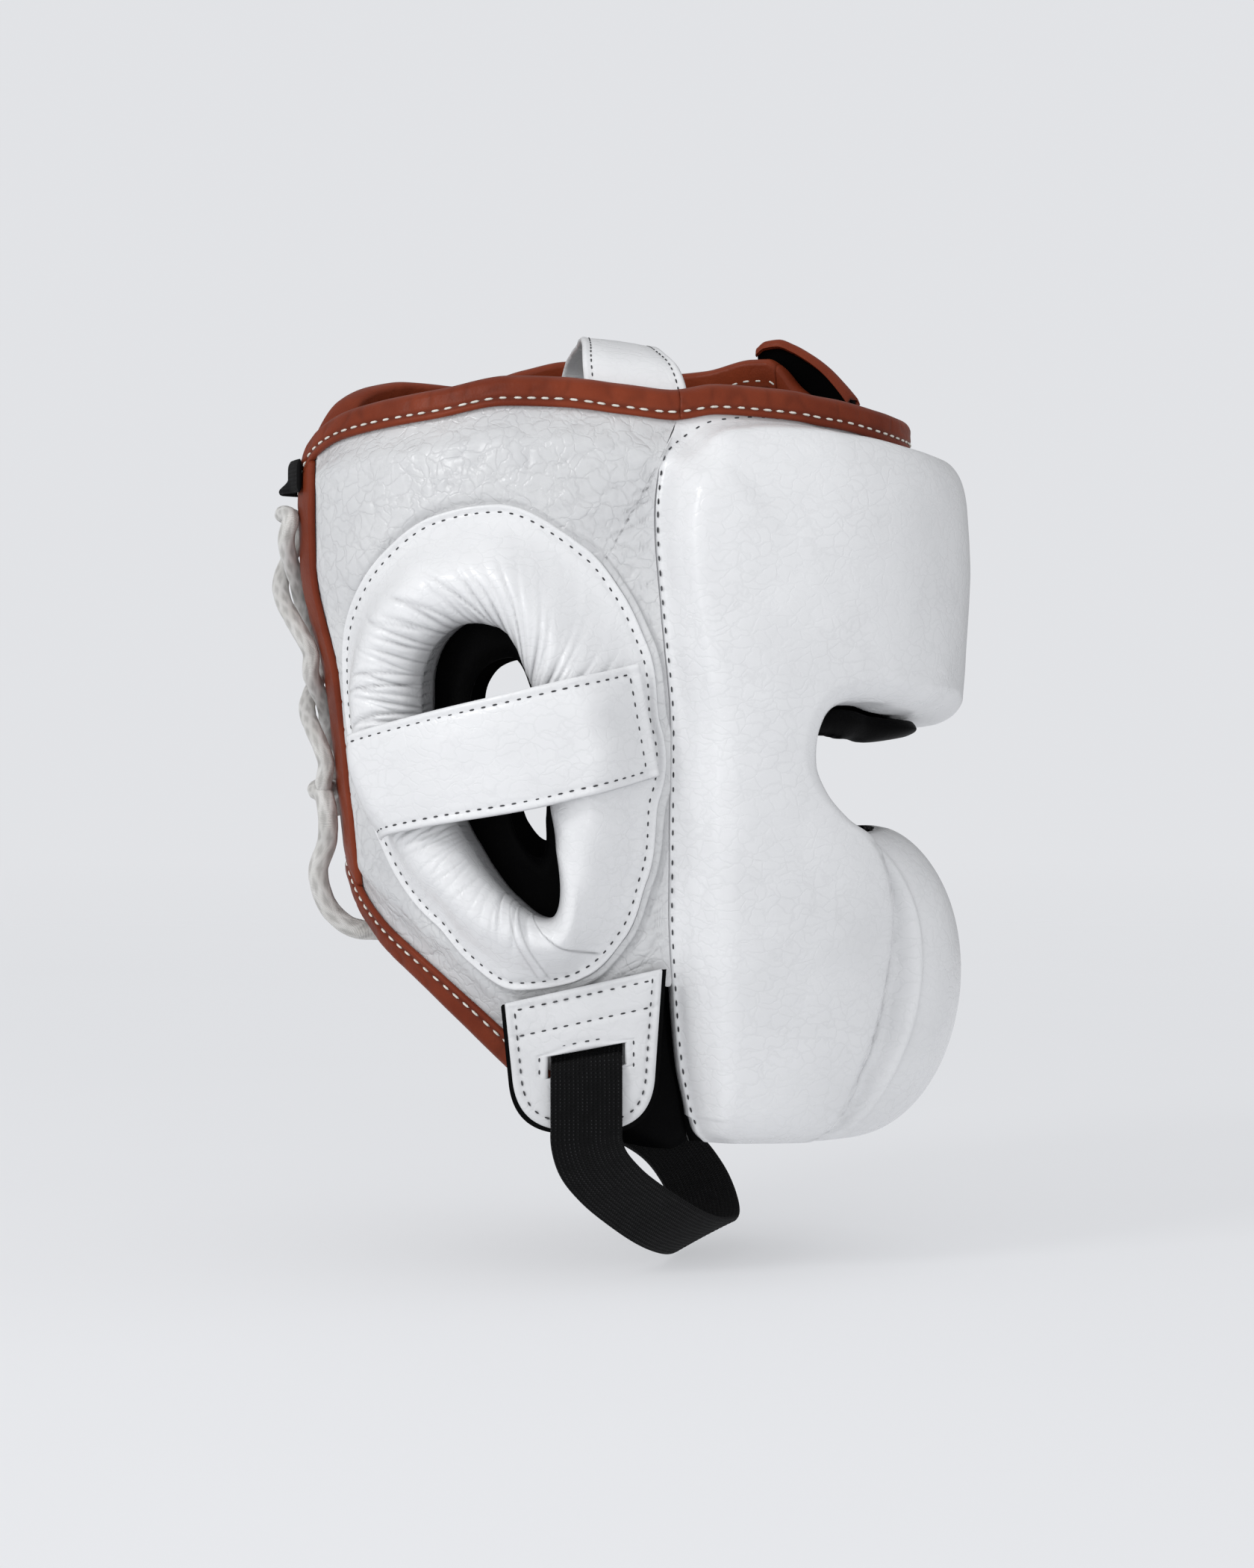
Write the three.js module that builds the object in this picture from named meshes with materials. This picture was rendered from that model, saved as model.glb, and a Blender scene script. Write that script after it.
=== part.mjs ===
// Full-face sparring head guard: padded leather panels, bound edges, ear pads, chin strap and back lace.
// Millimetres, +X to the face, +Y to the wearer's left, +Z up. The origin is the crown of the wearer's head,
// under the crown strap. Most pieces are drawn on the head form as an angle round the head (0 at the face,
// 90 at the ear, 180 at the back), a height z, and a distance out from the form.
import * as THREE from "three";

// Driving sizes
const WIDEST_X = -10; // where the head form is widest
const ROUNDNESS = 2.2; // 2 is an ellipse, more is squarer
const LINING = 2; // thickness of the black lining
const SEAT = 2.6; // where the padded pieces start, just outside the lining
const EDGE = 6; // height of the stack of layers at a bound edge
const PANEL = 12.5; // height of a side panel away from its edges
const BINDING_LEG = 9; // how far the binding laps over an edge
const BINDING_WALL = 1.6;
const FACING_WIDTH = 20; // brown facing along each back edge
const FACING_DROP = 11.5; // from the rim's edge to the top of the facing
const FACING_FOOT = -177;
const FACING_SPLAY = 0.7; // how its ends follow the slopes of the rim and the lower edge
const STEEP_RIM_LIP = 2.4; // the pad starts this much further from the left rim, which slopes more
const BACK_EDGE_ANGLE = 171.5;
const EAR_ANGLE = 104;
const EAR_Z = -148;
const MM_PER_DEGREE = 1.75; // along the head at the ear
const EAR_PAD_RISE = 18; // crown of the ear pad above the side panel
const EAR_PAD_FLANGE = 2.6;
const EAR_SKIRT = 4; // wall of the ear pad inside the panel's opening
const STRAP_LEATHER = 2.4;
const ELASTIC_WIDTH = 25;
const ELASTIC = 2;
const LACE_RADIUS = 3.1;
const GAP = 0.45;
const FOLD_ROOM = 1.1; // between a binding's legs and the layers that it holds

const WHITE = 0xe9e9e6;
const BROWN = 0x783422;
const BLACK = 0x17171a;
const LACE_WHITE = 0xddd8cc;

// Inner face of the lining: reach to front and back and half width at each height
const HEAD_FORM = [
  { z: -295, front: 83.5, back: -69, half: 58 },
  { z: -240, front: 90, back: -80, half: 68 },
  { z: -200, front: 93, back: -88, half: 74.5 },
  { z: -160, front: 95, back: -92.5, half: 79 },
  { z: -120, front: 97, back: -97, half: 80.5 },
  { z: -80, front: 99, back: -106, half: 79 },
  { z: -45, front: 101, back: -107, half: 74.5 },
  { z: -15, front: 101, back: -102, half: 67 },
  { z: 20, front: 95, back: -88, half: 52 },
];

// Top of the rim on each side; the left side of the soft, unworn guard stands higher
const RIM = [
  { angle: 0, right: -26, left: -26 },
  { angle: 15, right: -25, left: -25 },
  { angle: 27, right: -23, left: -21 },
  { angle: 40, right: -20, left: -14.5 },
  { angle: 46, right: -19, left: -8.5 },
  { angle: 50, right: -18, left: -1 },
  { angle: 53, right: -17.5, left: 2 },
  { angle: 57, right: -17, left: 2 },
  { angle: 68, right: -16, left: -2 },
  { angle: 76, right: -18, left: -3 },
  { angle: 85, right: -16, left: 0 },
  { angle: 93, right: -13.5, left: 2 },
  { angle: 104, right: -13, left: -1.5 },
  { angle: 118, right: -17, left: -8 },
  { angle: 137, right: -21, left: -7 },
  { angle: 148, right: -24, left: -9 },
  { angle: 158, right: -29, left: -14 },
  { angle: 166, right: -37, left: -26 },
  { angle: 172, right: -46, left: -40 },
];

// Seam between the front pad and each side panel
const SEAM = [
  { z: -295, angle: 68.5 },
  { z: -272, angle: 71 },
  { z: -255, angle: 73.4 },
  { z: -232, angle: 75 },
  { z: -198, angle: 76.3 },
  { z: -135, angle: 76.5 },
  { z: -98, angle: 78.2 },
  { z: -62, angle: 79.5 },
  { z: -44, angle: 78.6 },
  { z: -30, angle: 75.4 },
  { z: 10, angle: 74.5 },
];

// Slanting lower edge of the side panel and its lining
const LOWER_EDGE = [
  { angle: 60, z: -287 },
  { angle: 74, z: -286 },
  { angle: 84, z: -283 },
  { angle: 96, z: -270.5 },
  { angle: 110, z: -254 },
  { angle: 122, z: -239.5 },
  { angle: 135, z: -226 },
  { angle: 150, z: -213 },
  { angle: 160, z: -203.5 },
  { angle: 172, z: -190 },
];

// The lower front of the side panel's leather stops short of the seam, behind the chin tab
const PANEL_SHORT = [
  { z: -290, share: 0.9 },
  { z: -262, share: 0.87 },
  { z: -236, share: 0.94 },
  { z: -214, share: 1 },
  { z: 20, share: 1 },
];

// Outlines round the ear centre by direction (0 up, 90 to the back): hole in the lining, opening of the pad,
// and the pad's seam
const EAR = [
  { direction: 0, lining: 36, hole: 46, pad: 89 },
  { direction: 15, lining: 35, hole: 49, pad: 88 },
  { direction: 30, lining: 32, hole: 47, pad: 84 },
  { direction: 45, lining: 27, hole: 43, pad: 81 },
  { direction: 60, lining: 20, hole: 37, pad: 80 },
  { direction: 90, lining: 12, hole: 30, pad: 72 },
  { direction: 120, lining: 10, hole: 27, pad: 65 },
  { direction: 150, lining: 12, hole: 32, pad: 66 },
  { direction: 165, lining: 16, hole: 38, pad: 73 },
  { direction: 180, lining: 27, hole: 47, pad: 80 },
  { direction: 195, lining: 35, hole: 56, pad: 80 },
  { direction: 210, lining: 23, hole: 33, pad: 71 },
  { direction: 225, lining: 17, hole: 21, pad: 59 },
  { direction: 255, lining: 12, hole: 15, pad: 47 },
  { direction: 285, lining: 12, hole: 14, pad: 47 },
  { direction: 315, lining: 14, hole: 17, pad: 58 },
  { direction: 330, lining: 18, hole: 22, pad: 68 },
  { direction: 345, lining: 26, hole: 31, pad: 81 },
  { direction: 360, lining: 36, hole: 46, pad: 89 },
];

// Front pad from the cheek's foot round the eye to the middle of the brow. Each row is a section from the
// inner edge (bar seam, then eye opening) to the outer edge (back seam, then rim; null takes its z from the
// rim). edge: height at the outer edge; lip and ramp: where the height rises; roll: 1 where the inner edge
// is rolled; lens: how far the black brow lining shows below the white edge.
const PAD_COLUMNS = ["a_in", "z_in", "a_out", "z_out", "edge", "lip", "ramp", "thick", "roll", "lens"];
const FRONT_PAD = [
  [36.5, -285.5, 66, -283.5, 5, 1, 8, 9, 0, 0],
  [35.6, -282.5, 68.6, -279.5, 8, 1, 9, 17, 0, 0],
  [33.5, -276, 70.4, -272, 10, 1.5, 10, 22, 0, 0],
  [30, -258, 73, -256, 11, 2, 12, 25, 0, 0],
  [26.8, -236, 74.6, -234, 11.5, 2, 13, 26.5, 0, 0],
  [25.4, -208, 75.8, -212, 12, 2, 13, 27, 0, 0],
  [28, -188, 76, -194, 12, 2, 13, 26.5, 0.1, 0],
  [33.5, -175, 76, -180, 12, 2, 13, 26, 0.5, 0],
  [40, -168.5, 76, -166, 12, 2, 13, 25.5, 1, 0],
  [45.3, -160, 76.1, -153, 12, 2, 13, 25.5, 1, 0],
  [48.3, -150, 76.2, -139, 12, 2, 13, 26, 1, 0],
  [48.8, -142, 77, -115, 12, 2, 13, 27, 1, 1],
  [48, -135, 78.5, -85, 12, 2, 13, 28, 1, 6],
  [45.5, -130.5, 79.2, -56, 11.5, 2.5, 14, 28.5, 1, 11],
  [42, -129, 76.6, -36, 6, 5, 16, 29, 1, 12.5],
  [38, -129, 68, null, 6, 9.8, 19, 29.5, 1, 12.5],
  [33, -129.5, 55, null, 6, 9.8, 17, 30.5, 1, 11.5],
  [25, -132, 38, null, 6, 9.8, 14, 31.5, 1, 10],
  [13, -133.5, 19, null, 6, 9.8, 13, 32, 1, 7.5],
  [0, -138, 0, null, 6, 9.8, 13, 32.5, 1, 2.5],
].map((row) => Object.fromEntries(PAD_COLUMNS.map((key, k) => [key, row[k]])));

// Face bar: its middle section; its ends follow the front pad's seam up to row SEAM_ROWS
const SEAM_ROWS = 7;
const BAR = {
  top: -174,
  bottom: -286,
  thick: 37.5,
  seamThick: 17,
  belly: 0.47,
  footRound: 0.95,
  headRound: 1.2,
};

// Leaf that stands up at the left top of the forehead
const FLAP_TOP = [
  { angle: 33, z: -13 },
  { angle: 36.5, z: -7 },
  { angle: 40.5, z: -0.5 },
  { angle: 44.2, z: 4 },
  { angle: 48, z: 7.5 },
  { angle: 51.6, z: 9.5 },
  { angle: 54.8, z: 9 },
  { angle: 57.2, z: 6.5 },
];
const FLAP_INNER = 8.9;
const FLAP_OUTER = 11.6;

// Strap over each ear opening from its back end to its front end: its edges, and how far its foot runs on
// in degrees
const EAR_STRAP = [
  { angle: 133, top: -139, bottom: -176, foot: -1.5 },
  { angle: 116, top: -131, bottom: -170, foot: 0 },
  { angle: 98, top: -122.5, bottom: -163.5, foot: -1 },
  { angle: 82, top: -114, bottom: -153, foot: -3.4 },
];

// Strap over the crown, from the right foot to the left foot, inside the rim
const CROWN_STRAP = [
  { y: -63.3, z: -31, x: 9.5, width: 37 },
  { y: -60.6, z: -18, x: 8.5, width: 36 },
  { y: -52, z: -8, x: 6.5, width: 34 },
  { y: -34, z: -0.5, x: 3.5, width: 29 },
  { y: -8, z: 2.6, x: 1.5, width: 27 },
  { y: 22, z: 2.8, x: 0, width: 27 },
  { y: 42, z: 1, x: -1.5, width: 29 },
  { y: 52.5, z: -3, x: -2.5, width: 32 },
  { y: 58.6, z: -10, x: -3, width: 34 },
  { y: 61.8, z: -20, x: -3, width: 34 },
];

const CROWN_SLOPE = 8; // its front edge is lower than its back edge

// Chin tab in its own plane: its half width, the slope of its top edge, how it narrows, its drop and corners
const TAB = {
  half: 27.4,
  slope: 12.5,
  narrow: 2.6,
  drop: 50.5,
  corner: 18,
  leather: 2,
  backing: 1.2,
  rim: 1.4,
};
const SLOT = { along: 1, up: -26, half: 13.4, height: 7.6, slope: 10.6 };
const TAB_PLACE = { x: -9.6, y: 85.6, z: -226, lean: 4 };

// Chin elastic beside each tab, up from the slot's middle and out from the backing's inner face
const ELASTIC_PATH = [
  { up: 13, out: -1.7 },
  { up: 5, out: -1.6 },
  { up: 0.6, out: 0.2 },
  { up: -0.6, out: 3.2 },
  { up: -5, out: 5.8 },
  { up: -14, out: 6.4 },
  { up: -23, out: 6.8 },
  { up: -28, out: 6.2 },
];

// Middle of the chin elastic under the chin, from right to left; rise is the slope of its width in degrees
const CHIN_STRAP = [
  { x: -6.5, y: -83, z: -288, rise: 15 },
  { x: -0.3, y: -74, z: -297, rise: 20 },
  { x: 9.7, y: -59, z: -307, rise: 26 },
  { x: 21.6, y: -39, z: -317, rise: 30 },
  { x: 31, y: -14, z: -323, rise: 30 },
  { x: 35.5, y: 8, z: -323, rise: 24 },
  { x: 34.6, y: 30, z: -316, rise: 14 },
  { x: 30, y: 48, z: -307, rise: 8 },
  { x: 21, y: 66, z: -298, rise: 8 },
  { x: 4, y: 82, z: -288.5, rise: 9 },
];

// Heights of the lace's turns on the two facings, and the loop that hangs at the right foot
const LACE_ROWS = [-62, -110, -150, -170];
const LACE_TURN_Y = 19;
const LACE_OVER = 4.5; // at the middle one strand passes outside the back
const LACE_UNDER = -2.3; // and the other one inside it
const LACE_FOOT = [
  { x: -103.5, y: -19, z: -178 },
  { x: -107, y: -17.5, z: -190 },
  { x: -102.6, y: -17, z: -203.5 },
  { x: -94, y: -17.5, z: -210 },
  { x: -82, y: -17, z: -211 },
];
const WEBBING = { low: -52, high: -40, thick: 1.8 };

const rad = THREE.MathUtils.degToRad;
const lerp = THREE.MathUtils.lerp;
const smooth = (x) => THREE.MathUtils.smoothstep(x, 0, 1);

// Smooth value of one column of a table at a place in another, without overshoot between rows
function column(rows, along, key, at) {
  const n = rows.length;
  let i = 0;
  while (i < n - 2 && at > rows[i + 1][along]) i++;
  const slope = (k) => (rows[k + 1][key] - rows[k][key]) / (rows[k + 1][along] - rows[k][along]);
  const tangent = (k) => {
    if (k === 0) return slope(0);
    if (k === n - 1) return slope(n - 2);
    const [a, b] = [slope(k - 1), slope(k)];
    return a * b > 0 ? (2 * a * b) / (a + b) : 0;
  };
  const span = rows[i + 1][along] - rows[i][along];
  const u = THREE.MathUtils.clamp((at - rows[i][along]) / span, 0, 1);
  const [u2, u3] = [u * u, u * u * u];
  return (
    (2 * u3 - 3 * u2 + 1) * rows[i][key] +
    (u3 - 2 * u2 + u) * span * tangent(i) +
    (3 * u2 - 2 * u3) * rows[i + 1][key] +
    (u3 - u2) * span * tangent(i + 1)
  );
}

const power = (v, e) => Math.sign(v) * Math.abs(v) ** e;

// Point on the head form; a negative angle is on the right side
function onHead(angle, z, out) {
  const [c, s] = [Math.cos(rad(angle)), Math.sin(rad(angle))];
  const e = 2 / ROUNDNESS;
  const reach =
    c >= 0 ? column(HEAD_FORM, "z", "front", z) - WIDEST_X : WIDEST_X - column(HEAD_FORM, "z", "back", z);
  const half = column(HEAD_FORM, "z", "half", z);
  const normal = new THREE.Vector2(power(c, 2 - e) / reach, power(s, 2 - e) / half).normalize();
  return new THREE.Vector3(
    WIDEST_X + reach * power(c, e) + out * normal.x,
    half * power(s, e) + out * normal.y,
    z,
  );
}

const rimTop = (side, angle) => column(RIM, "angle", side < 0 ? "right" : "left", Math.abs(angle));
const rimEdge = (side, angle) => rimTop(side, angle) - 2;
const seamAngle = (z) => column(SEAM, "z", "angle", z);
const lowerEdge = (angle) => column(LOWER_EDGE, "angle", "z", angle);
const earRadius = (key, direction) => column(EAR, "direction", key, ((direction % 360) + 360) % 360);

const group = new THREE.Group();

// Closed mesh from rings of points: looped rings close on themselves, others get flat ends.
// With strips, each end is a ladder between the two faces of the ring, for ends that aren't flat.
function addRings(name, colour, rings, { looped = false, strips = false } = {}) {
  const [n, m] = [rings.length, rings[0].length];
  const index = [];
  const last = looped ? n : n - 1;
  for (let i = 0; i < last; i++)
    for (let j = 0; j < m; j++) {
      const [a, b] = [i * m + j, i * m + ((j + 1) % m)];
      const [c, d] = [((i + 1) % n) * m + j, ((i + 1) % n) * m + ((j + 1) % m)];
      index.push(a, b, d, a, d, c);
    }
  if (!looped) {
    const faces = strips ? () => ladder(m) : flatEnd;
    index.push(...faces(rings[0]).flatMap(([a, b, c]) => [a, c, b]));
    index.push(...faces(rings[n - 1]).flatMap((face) => face.map((k) => (n - 1) * m + k)));
  }
  const points = rings.flat();
  let volume = 0;
  for (let k = 0; k < index.length; k += 3) {
    const [a, b, c] = [points[index[k]], points[index[k + 1]], points[index[k + 2]]];
    volume += a.dot(new THREE.Vector3().crossVectors(b, c));
  }
  if (volume < 0) index.reverse();
  addMesh(name, colour, new THREE.BufferGeometry().setFromPoints(points).setIndex(index));
}

// Triangles between the first half of a ring and its second half run backwards
function ladder(m) {
  const faces = [];
  for (let k = 0; k < m / 2 - 1; k++) {
    const [a, b, c, d] = [k, k + 1, m - 2 - k, m - 1 - k];
    faces.push([a, b, c], [a, c, d]);
  }
  return faces;
}

// Triangles that fill a flat ring, turned the way its points run
function flatEnd(ring) {
  const normal = new THREE.Vector3();
  ring.forEach((p, k) => normal.add(new THREE.Vector3().crossVectors(p, ring[(k + 1) % ring.length])));
  normal.normalize();
  const across = new THREE.Vector3(1, 0, 0);
  if (Math.abs(normal.x) > 0.8) across.set(0, 1, 0);
  across.addScaledVector(normal, -across.dot(normal)).normalize();
  const up = new THREE.Vector3().crossVectors(normal, across);
  const flat = ring.map((p) => new THREE.Vector2(p.dot(across), p.dot(up)));
  return THREE.ShapeUtils.triangulateShape(flat, []);
}

function addMesh(name, colour, geometry) {
  geometry.computeVertexNormals();
  const material = new THREE.MeshStandardMaterial({ color: colour, roughness: 0.6 });
  const mesh = new THREE.Mesh(geometry, material);
  mesh.name = name;
  group.add(mesh);
}

const steps = (from, to, count) => Array.from({ length: count + 1 }, (_, k) => lerp(from, to, k / count));
const sideName = (side) => (side < 0 ? "right" : "left");

function earPlace(direction, radius) {
  return {
    angle: EAR_ANGLE + (radius * Math.sin(rad(direction))) / MM_PER_DEGREE,
    z: EAR_Z + radius * Math.cos(rad(direction)),
  };
}

// Direction and distance of a place from the ear centre
function earPolar(angle, z) {
  const [across, up] = [(angle - EAR_ANGLE) * MM_PER_DEGREE, z - EAR_Z];
  const direction = (THREE.MathUtils.radToDeg(Math.atan2(across, up)) + 360) % 360;
  return { direction, radius: Math.hypot(across, up) };
}

// Edge of one side, shared by its lining, its panel and its bindings: rim, back edge, lower edge, seam
const rimStops = steps(75.2, BACK_EDGE_ANGLE, 11);
const lowerStops = steps(BACK_EDGE_ANGLE, 84.5, 8);
const backStops = (side) => steps(rimEdge(side, BACK_EDGE_ANGLE), lowerEdge(BACK_EDGE_ANGLE), 5);
const SEAM_STOPS = [-274, -238, -200, -150, -105, -78, -60, -45, -30];
function sideEdge(side) {
  const rim = rimStops.map((angle) => ({ angle, z: rimEdge(side, angle) }));
  const back = backStops(side).slice(1, -1).map((z) => ({ angle: BACK_EDGE_ANGLE, z }));
  const lower = [...lowerStops, 76].map((angle) => ({ angle, z: lowerEdge(angle) }));
  const head = rimEdge(side, rimStops[0]) - BINDING_LEG - 2.5;
  const heights = [...SEAM_STOPS.filter((z) => z < head - 4), head];
  const seam = heights.map((z) => ({ angle: seamAngle(z) + 0.35, z }));
  return [...rim, ...back, ...lower, ...seam];
}

// Height of a side panel's outer face: thin under the bindings, full in the field
function panelHeight(side, angle, z) {
  const fromRim = rimEdge(side, angle) - z;
  const fromBack = (BACK_EDGE_ANGLE - angle) * 1.5;
  const fromFoot = (z - lowerEdge(angle)) * 0.75;
  const room = Math.min(fromRim - BINDING_LEG, fromBack - FACING_WIDTH, fromFoot - BINDING_LEG) - 0.8;
  return EDGE + (PANEL - EDGE) * smooth(room / 13);
}

// Height of the ear pad above the side panel, by share of the way from its seam to its opening
function earRise(share) {
  const climb = smooth((share - 0.06) / 0.58);
  return EAR_PAD_FLANGE + (EAR_PAD_RISE - EAR_PAD_FLANGE) * climb;
}

// Whole row of the front pad from right foot to left foot, by a count that passes the middle of the brow
const PAD_ROWS = [-1, 1].flatMap((side) => {
  const rows = FRONT_PAD.map((row) => ({
    ...row,
    a_in: side * row.a_in,
    a_out: side * row.a_out,
    z_out: row.z_out ?? rimEdge(side, row.a_out),
    lip: side > 0 && row.z_out === null ? row.lip + STEEP_RIM_LIP : row.lip,
  }));
  return side < 0 ? rows : rows.toReversed().slice(1);
}).map((row, count) => ({ ...row, count }));

function padRow(count) {
  const row = Object.fromEntries(PAD_COLUMNS.map((key) => [key, column(PAD_ROWS, "count", key, count)]));
  if (Math.abs(row.a_out) < 69 && row.z_out > -60) row.z_out = rimEdge(row.a_out, row.a_out);
  else if (row.z_out > SEAM_STOPS[0]) row.a_out = Math.sign(row.a_out) * (seamAngle(row.z_out) - 0.95);
  row.width = Math.hypot((row.a_in - row.a_out) * 1.8, row.z_in - row.z_out);
  return row;
}

// Place on a front section, a distance in from its outer edge
function padPlace(row, inset, out) {
  const share = inset / row.width;
  return onHead(lerp(row.a_out, row.a_in, share), lerp(row.z_out, row.z_in, share), out);
}

const padCounts = steps(0, PAD_ROWS.length - 1, 42);
const rimAngles = padCounts.map((count) => padRow(count).a_out).filter((angle) => Math.abs(angle) < 72);
const rimJoint = rimAngles.findLast((angle) => angle < 52); // where the front rim binding meets the left one

for (const side of [-1, 1]) {
  const name = sideName(side);
  const place = (angle, z, out) => onHead(side * angle, z, out);

  // One fan of rays from the ear to the edge carries the lining, the panel and the ear pad
  const top = (p) => panelHeight(side, p.angle, p.z);
  const rays = sideEdge(side).map(({ angle, z }) => {
    const { direction, radius } = earPolar(angle, z);
    const [hole, seam] = [earRadius("hole", direction), earRadius("pad", direction)];
    const mouth = hole + EAR_SKIRT + GAP;
    const panel = angle < 90 ? radius * column(PANEL_SHORT, "z", "share", z) : radius;
    let shoulder = panel - 2;
    while (shoulder > seam + 2 && top(earPlace(direction, shoulder - 0.5)) < EDGE + 0.05) shoulder -= 0.5;
    const middle = lerp(mouth, seam, 0.5);
    const field = lerp(seam, shoulder, 0.5);
    const lining = earRadius("lining", direction);
    return { direction, hole, radius, lining, mouth, middle, seam, field, shoulder, panel };
  });
  const along = (ray, keys, out) =>
    keys.map((key) => {
      const p = earPlace(ray.direction, ray[key]);
      return place(p.angle, p.z, typeof out === "function" ? out(p) : out);
    });

  // Lining of the side, with its ear hole
  const liningRings = rays.map((ray) => [
    ...along(ray, ["lining", "mouth", "middle", "seam", "field", "shoulder", "radius"], LINING),
    ...along(ray, ["radius", "shoulder", "field", "seam", "lining"], 0),
  ]);
  addRings(`lining_${name}`, BLACK, liningRings, { looped: true });

  // Padded side panel round the ear opening
  const panelStops = ["mouth", "middle", "seam", "field", "shoulder", "panel"];
  const panelRings = rays.map((ray) => [
    ...along(ray, panelStops, SEAT),
    ...along(ray, panelStops.toReversed(), top),
  ]);
  addRings(`side_panel_${name}`, WHITE, panelRings, { looped: true });

  // Ear pad: a stuffed ring whose inner wall goes down through the panel's opening
  const floor = (p) => top(p) + GAP + 0.1;
  const padRings = rays.map((ray) => {
    const swell = (share) => {
      const p = earPlace(ray.direction, lerp(ray.seam, ray.hole, share));
      const rollOver = 1 - 0.14 * smooth((share - 0.62) / 0.3);
      return place(p.angle, p.z, floor(p) + earRise(share) * rollOver);
    };
    const wall = { ...ray, skirt: ray.hole + EAR_SKIRT, base: ray.seam - 0.2 };
    return [
      ...along(wall, ["base", "middle", "skirt"], floor),
      ...along(wall, ["skirt", "hole"], SEAT + 0.2),
      ...along(wall, ["hole"], (p) => floor(p) + EAR_PAD_RISE * 0.4),
      ...[0.9, 0.72, 0.5, 0.32, 0.15, 0].map(swell),
    ];
  });
  addRings(`ear_pad_${name}`, WHITE, padRings, { looped: true });

  // Strip across the ear opening, lying on the pad and bridging the hole
  const stripHeight = (angle, z) => {
    const { direction, radius } = earPolar(angle, z);
    const [hole, seam] = [earRadius("hole", direction), earRadius("pad", direction)];
    const share = THREE.MathUtils.clamp((seam - radius) / (seam - hole), 0, 1);
    return panelHeight(side, angle, z) + earRise(share) + 2 * GAP + 1.7;
  };
  const stripEdges = EAR_STRAP.toReversed();
  const stripRings = steps(133, 82, 14).map((angle) => {
    const [head, foot, lean] = ["top", "bottom", "foot"].map((key) =>
      column(stripEdges, "angle", key, angle),
    );
    const across = [0, 0.5, 1].map((v) => ({ angle: angle + lean * (1 - v), z: lerp(foot, head, v) }));
    const face = (rise) => (p) => place(p.angle, p.z, stripHeight(p.angle, p.z) + rise);
    return [...across.map(face(STRAP_LEATHER)), ...across.toReversed().map(face(0))];
  });
  addRings(`ear_strap_${name}`, WHITE, stripRings, { strips: true });

  // Bindings of the rim, the back edge and the lower edge
  const overFront = side < 0 ? [] : [rimJoint + 0.2, ...rimAngles.filter((angle) => angle > rimJoint)];
  addBinding(
    `rim_binding_${name}`,
    [...overFront, ...rimStops].map((angle) => ({
      angle: side * angle,
      z: rimEdge(side, angle),
      down: [0, -1],
    })),
    { outer: BINDING_LEG, inner: BINDING_LEG, low: -0.3 },
  );
  const facing = backStops(side);
  addBinding(
    `back_binding_${name}`,
    [facing[0] - FACING_DROP, ...facing.slice(1, -1), FACING_FOOT].map((z, k, all) => ({
      angle: side * BACK_EDGE_ANGLE,
      z,
      down: [-side, FACING_SPLAY * ((k === 0) - (k === all.length - 1))],
    })),
    { outer: FACING_WIDTH, inner: 11, low: -0.8 },
  );
  addBinding(
    `lower_binding_${name}`,
    lowerStops.map((angle) => {
      const slope = (lowerEdge(angle + 1) - lowerEdge(angle - 1)) / (2 * 1.45);
      const length = Math.hypot(1, slope);
      return { angle: side * angle, z: lowerEdge(angle), down: [(-side * slope) / length, 1 / length] };
    }),
    { outer: BINDING_LEG * 0.95, inner: 7 },
  );
}

// Folded binding along an edge. Each stop has its place on the head, and down, the way into the material.
// low and high are the heights of the layers that it holds.
function addBinding(name, stops, { outer, inner, low = 0, high = EDGE }) {
  const wall = BINDING_WALL;
  const [over, under] = [high + FOLD_ROOM, low - FOLD_ROOM];
  const profile = [
    [outer, over + wall],
    [0, over + wall],
    [-1.5, over],
    [-GAP - wall, (high + low) / 2],
    [-1.5, under],
    [0, under - wall],
    [inner, under - wall],
    [inner, under],
    [-GAP, under],
    [-GAP, over],
    [outer, over],
  ];
  const rings = stops.map(({ angle, z, down }) => {
    const scale = onHead(angle + 0.5, z, high).distanceTo(onHead(angle - 0.5, z, high));
    return profile.map(([depth, out]) =>
      onHead(angle + (depth * down[0]) / scale, z + depth * down[1], out),
    );
  });
  addRings(name, BROWN, rings);
}

addBinding(
  "rim_binding_front",
  [-74.4, ...rimAngles.filter((angle) => angle < rimJoint), rimJoint - 0.2].map((angle) => ({
    angle,
    z: rimEdge(angle, angle),
    down: [0, -1],
  })),
  { outer: BINDING_LEG, inner: BINDING_LEG },
);

// Front pad: forehead and cheeks
addRings(
  "front_pad",
  WHITE,
  padCounts.map((count) => {
    const row = padRow(count);
    const { width, edge, lip, ramp, thick, roll } = row;
    const rise = thick - edge;
    const foot = lerp(0.62, 0.3, roll);
    const profile = [
      [0.3, SEAT],
      [0.3, edge],
      [lip, edge],
      [lip + ramp * 0.35, edge + rise * 0.52],
      [lip + ramp * 0.8, edge + rise * 0.9],
      [lerp(lip + ramp, width - 12, 0.4), thick],
      [width - 11, thick * 0.985],
      [width - lerp(3.5, 5, roll), thick * lerp(0.84, 0.88, roll)],
      [width - lerp(0.3, 1.4, roll), thick * lerp(0.66, 0.64, roll)],
      [width - 0.3, thick * foot],
      [width - lerp(0.3, 1.2, roll), SEAT + 1.5],
      [width - lerp(0.3, 3, roll), SEAT],
      [width * 0.68, SEAT],
      [width * 0.34, SEAT],
    ];
    return profile.map(([inset, out]) => padPlace(row, inset, out));
  }),
);

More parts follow.
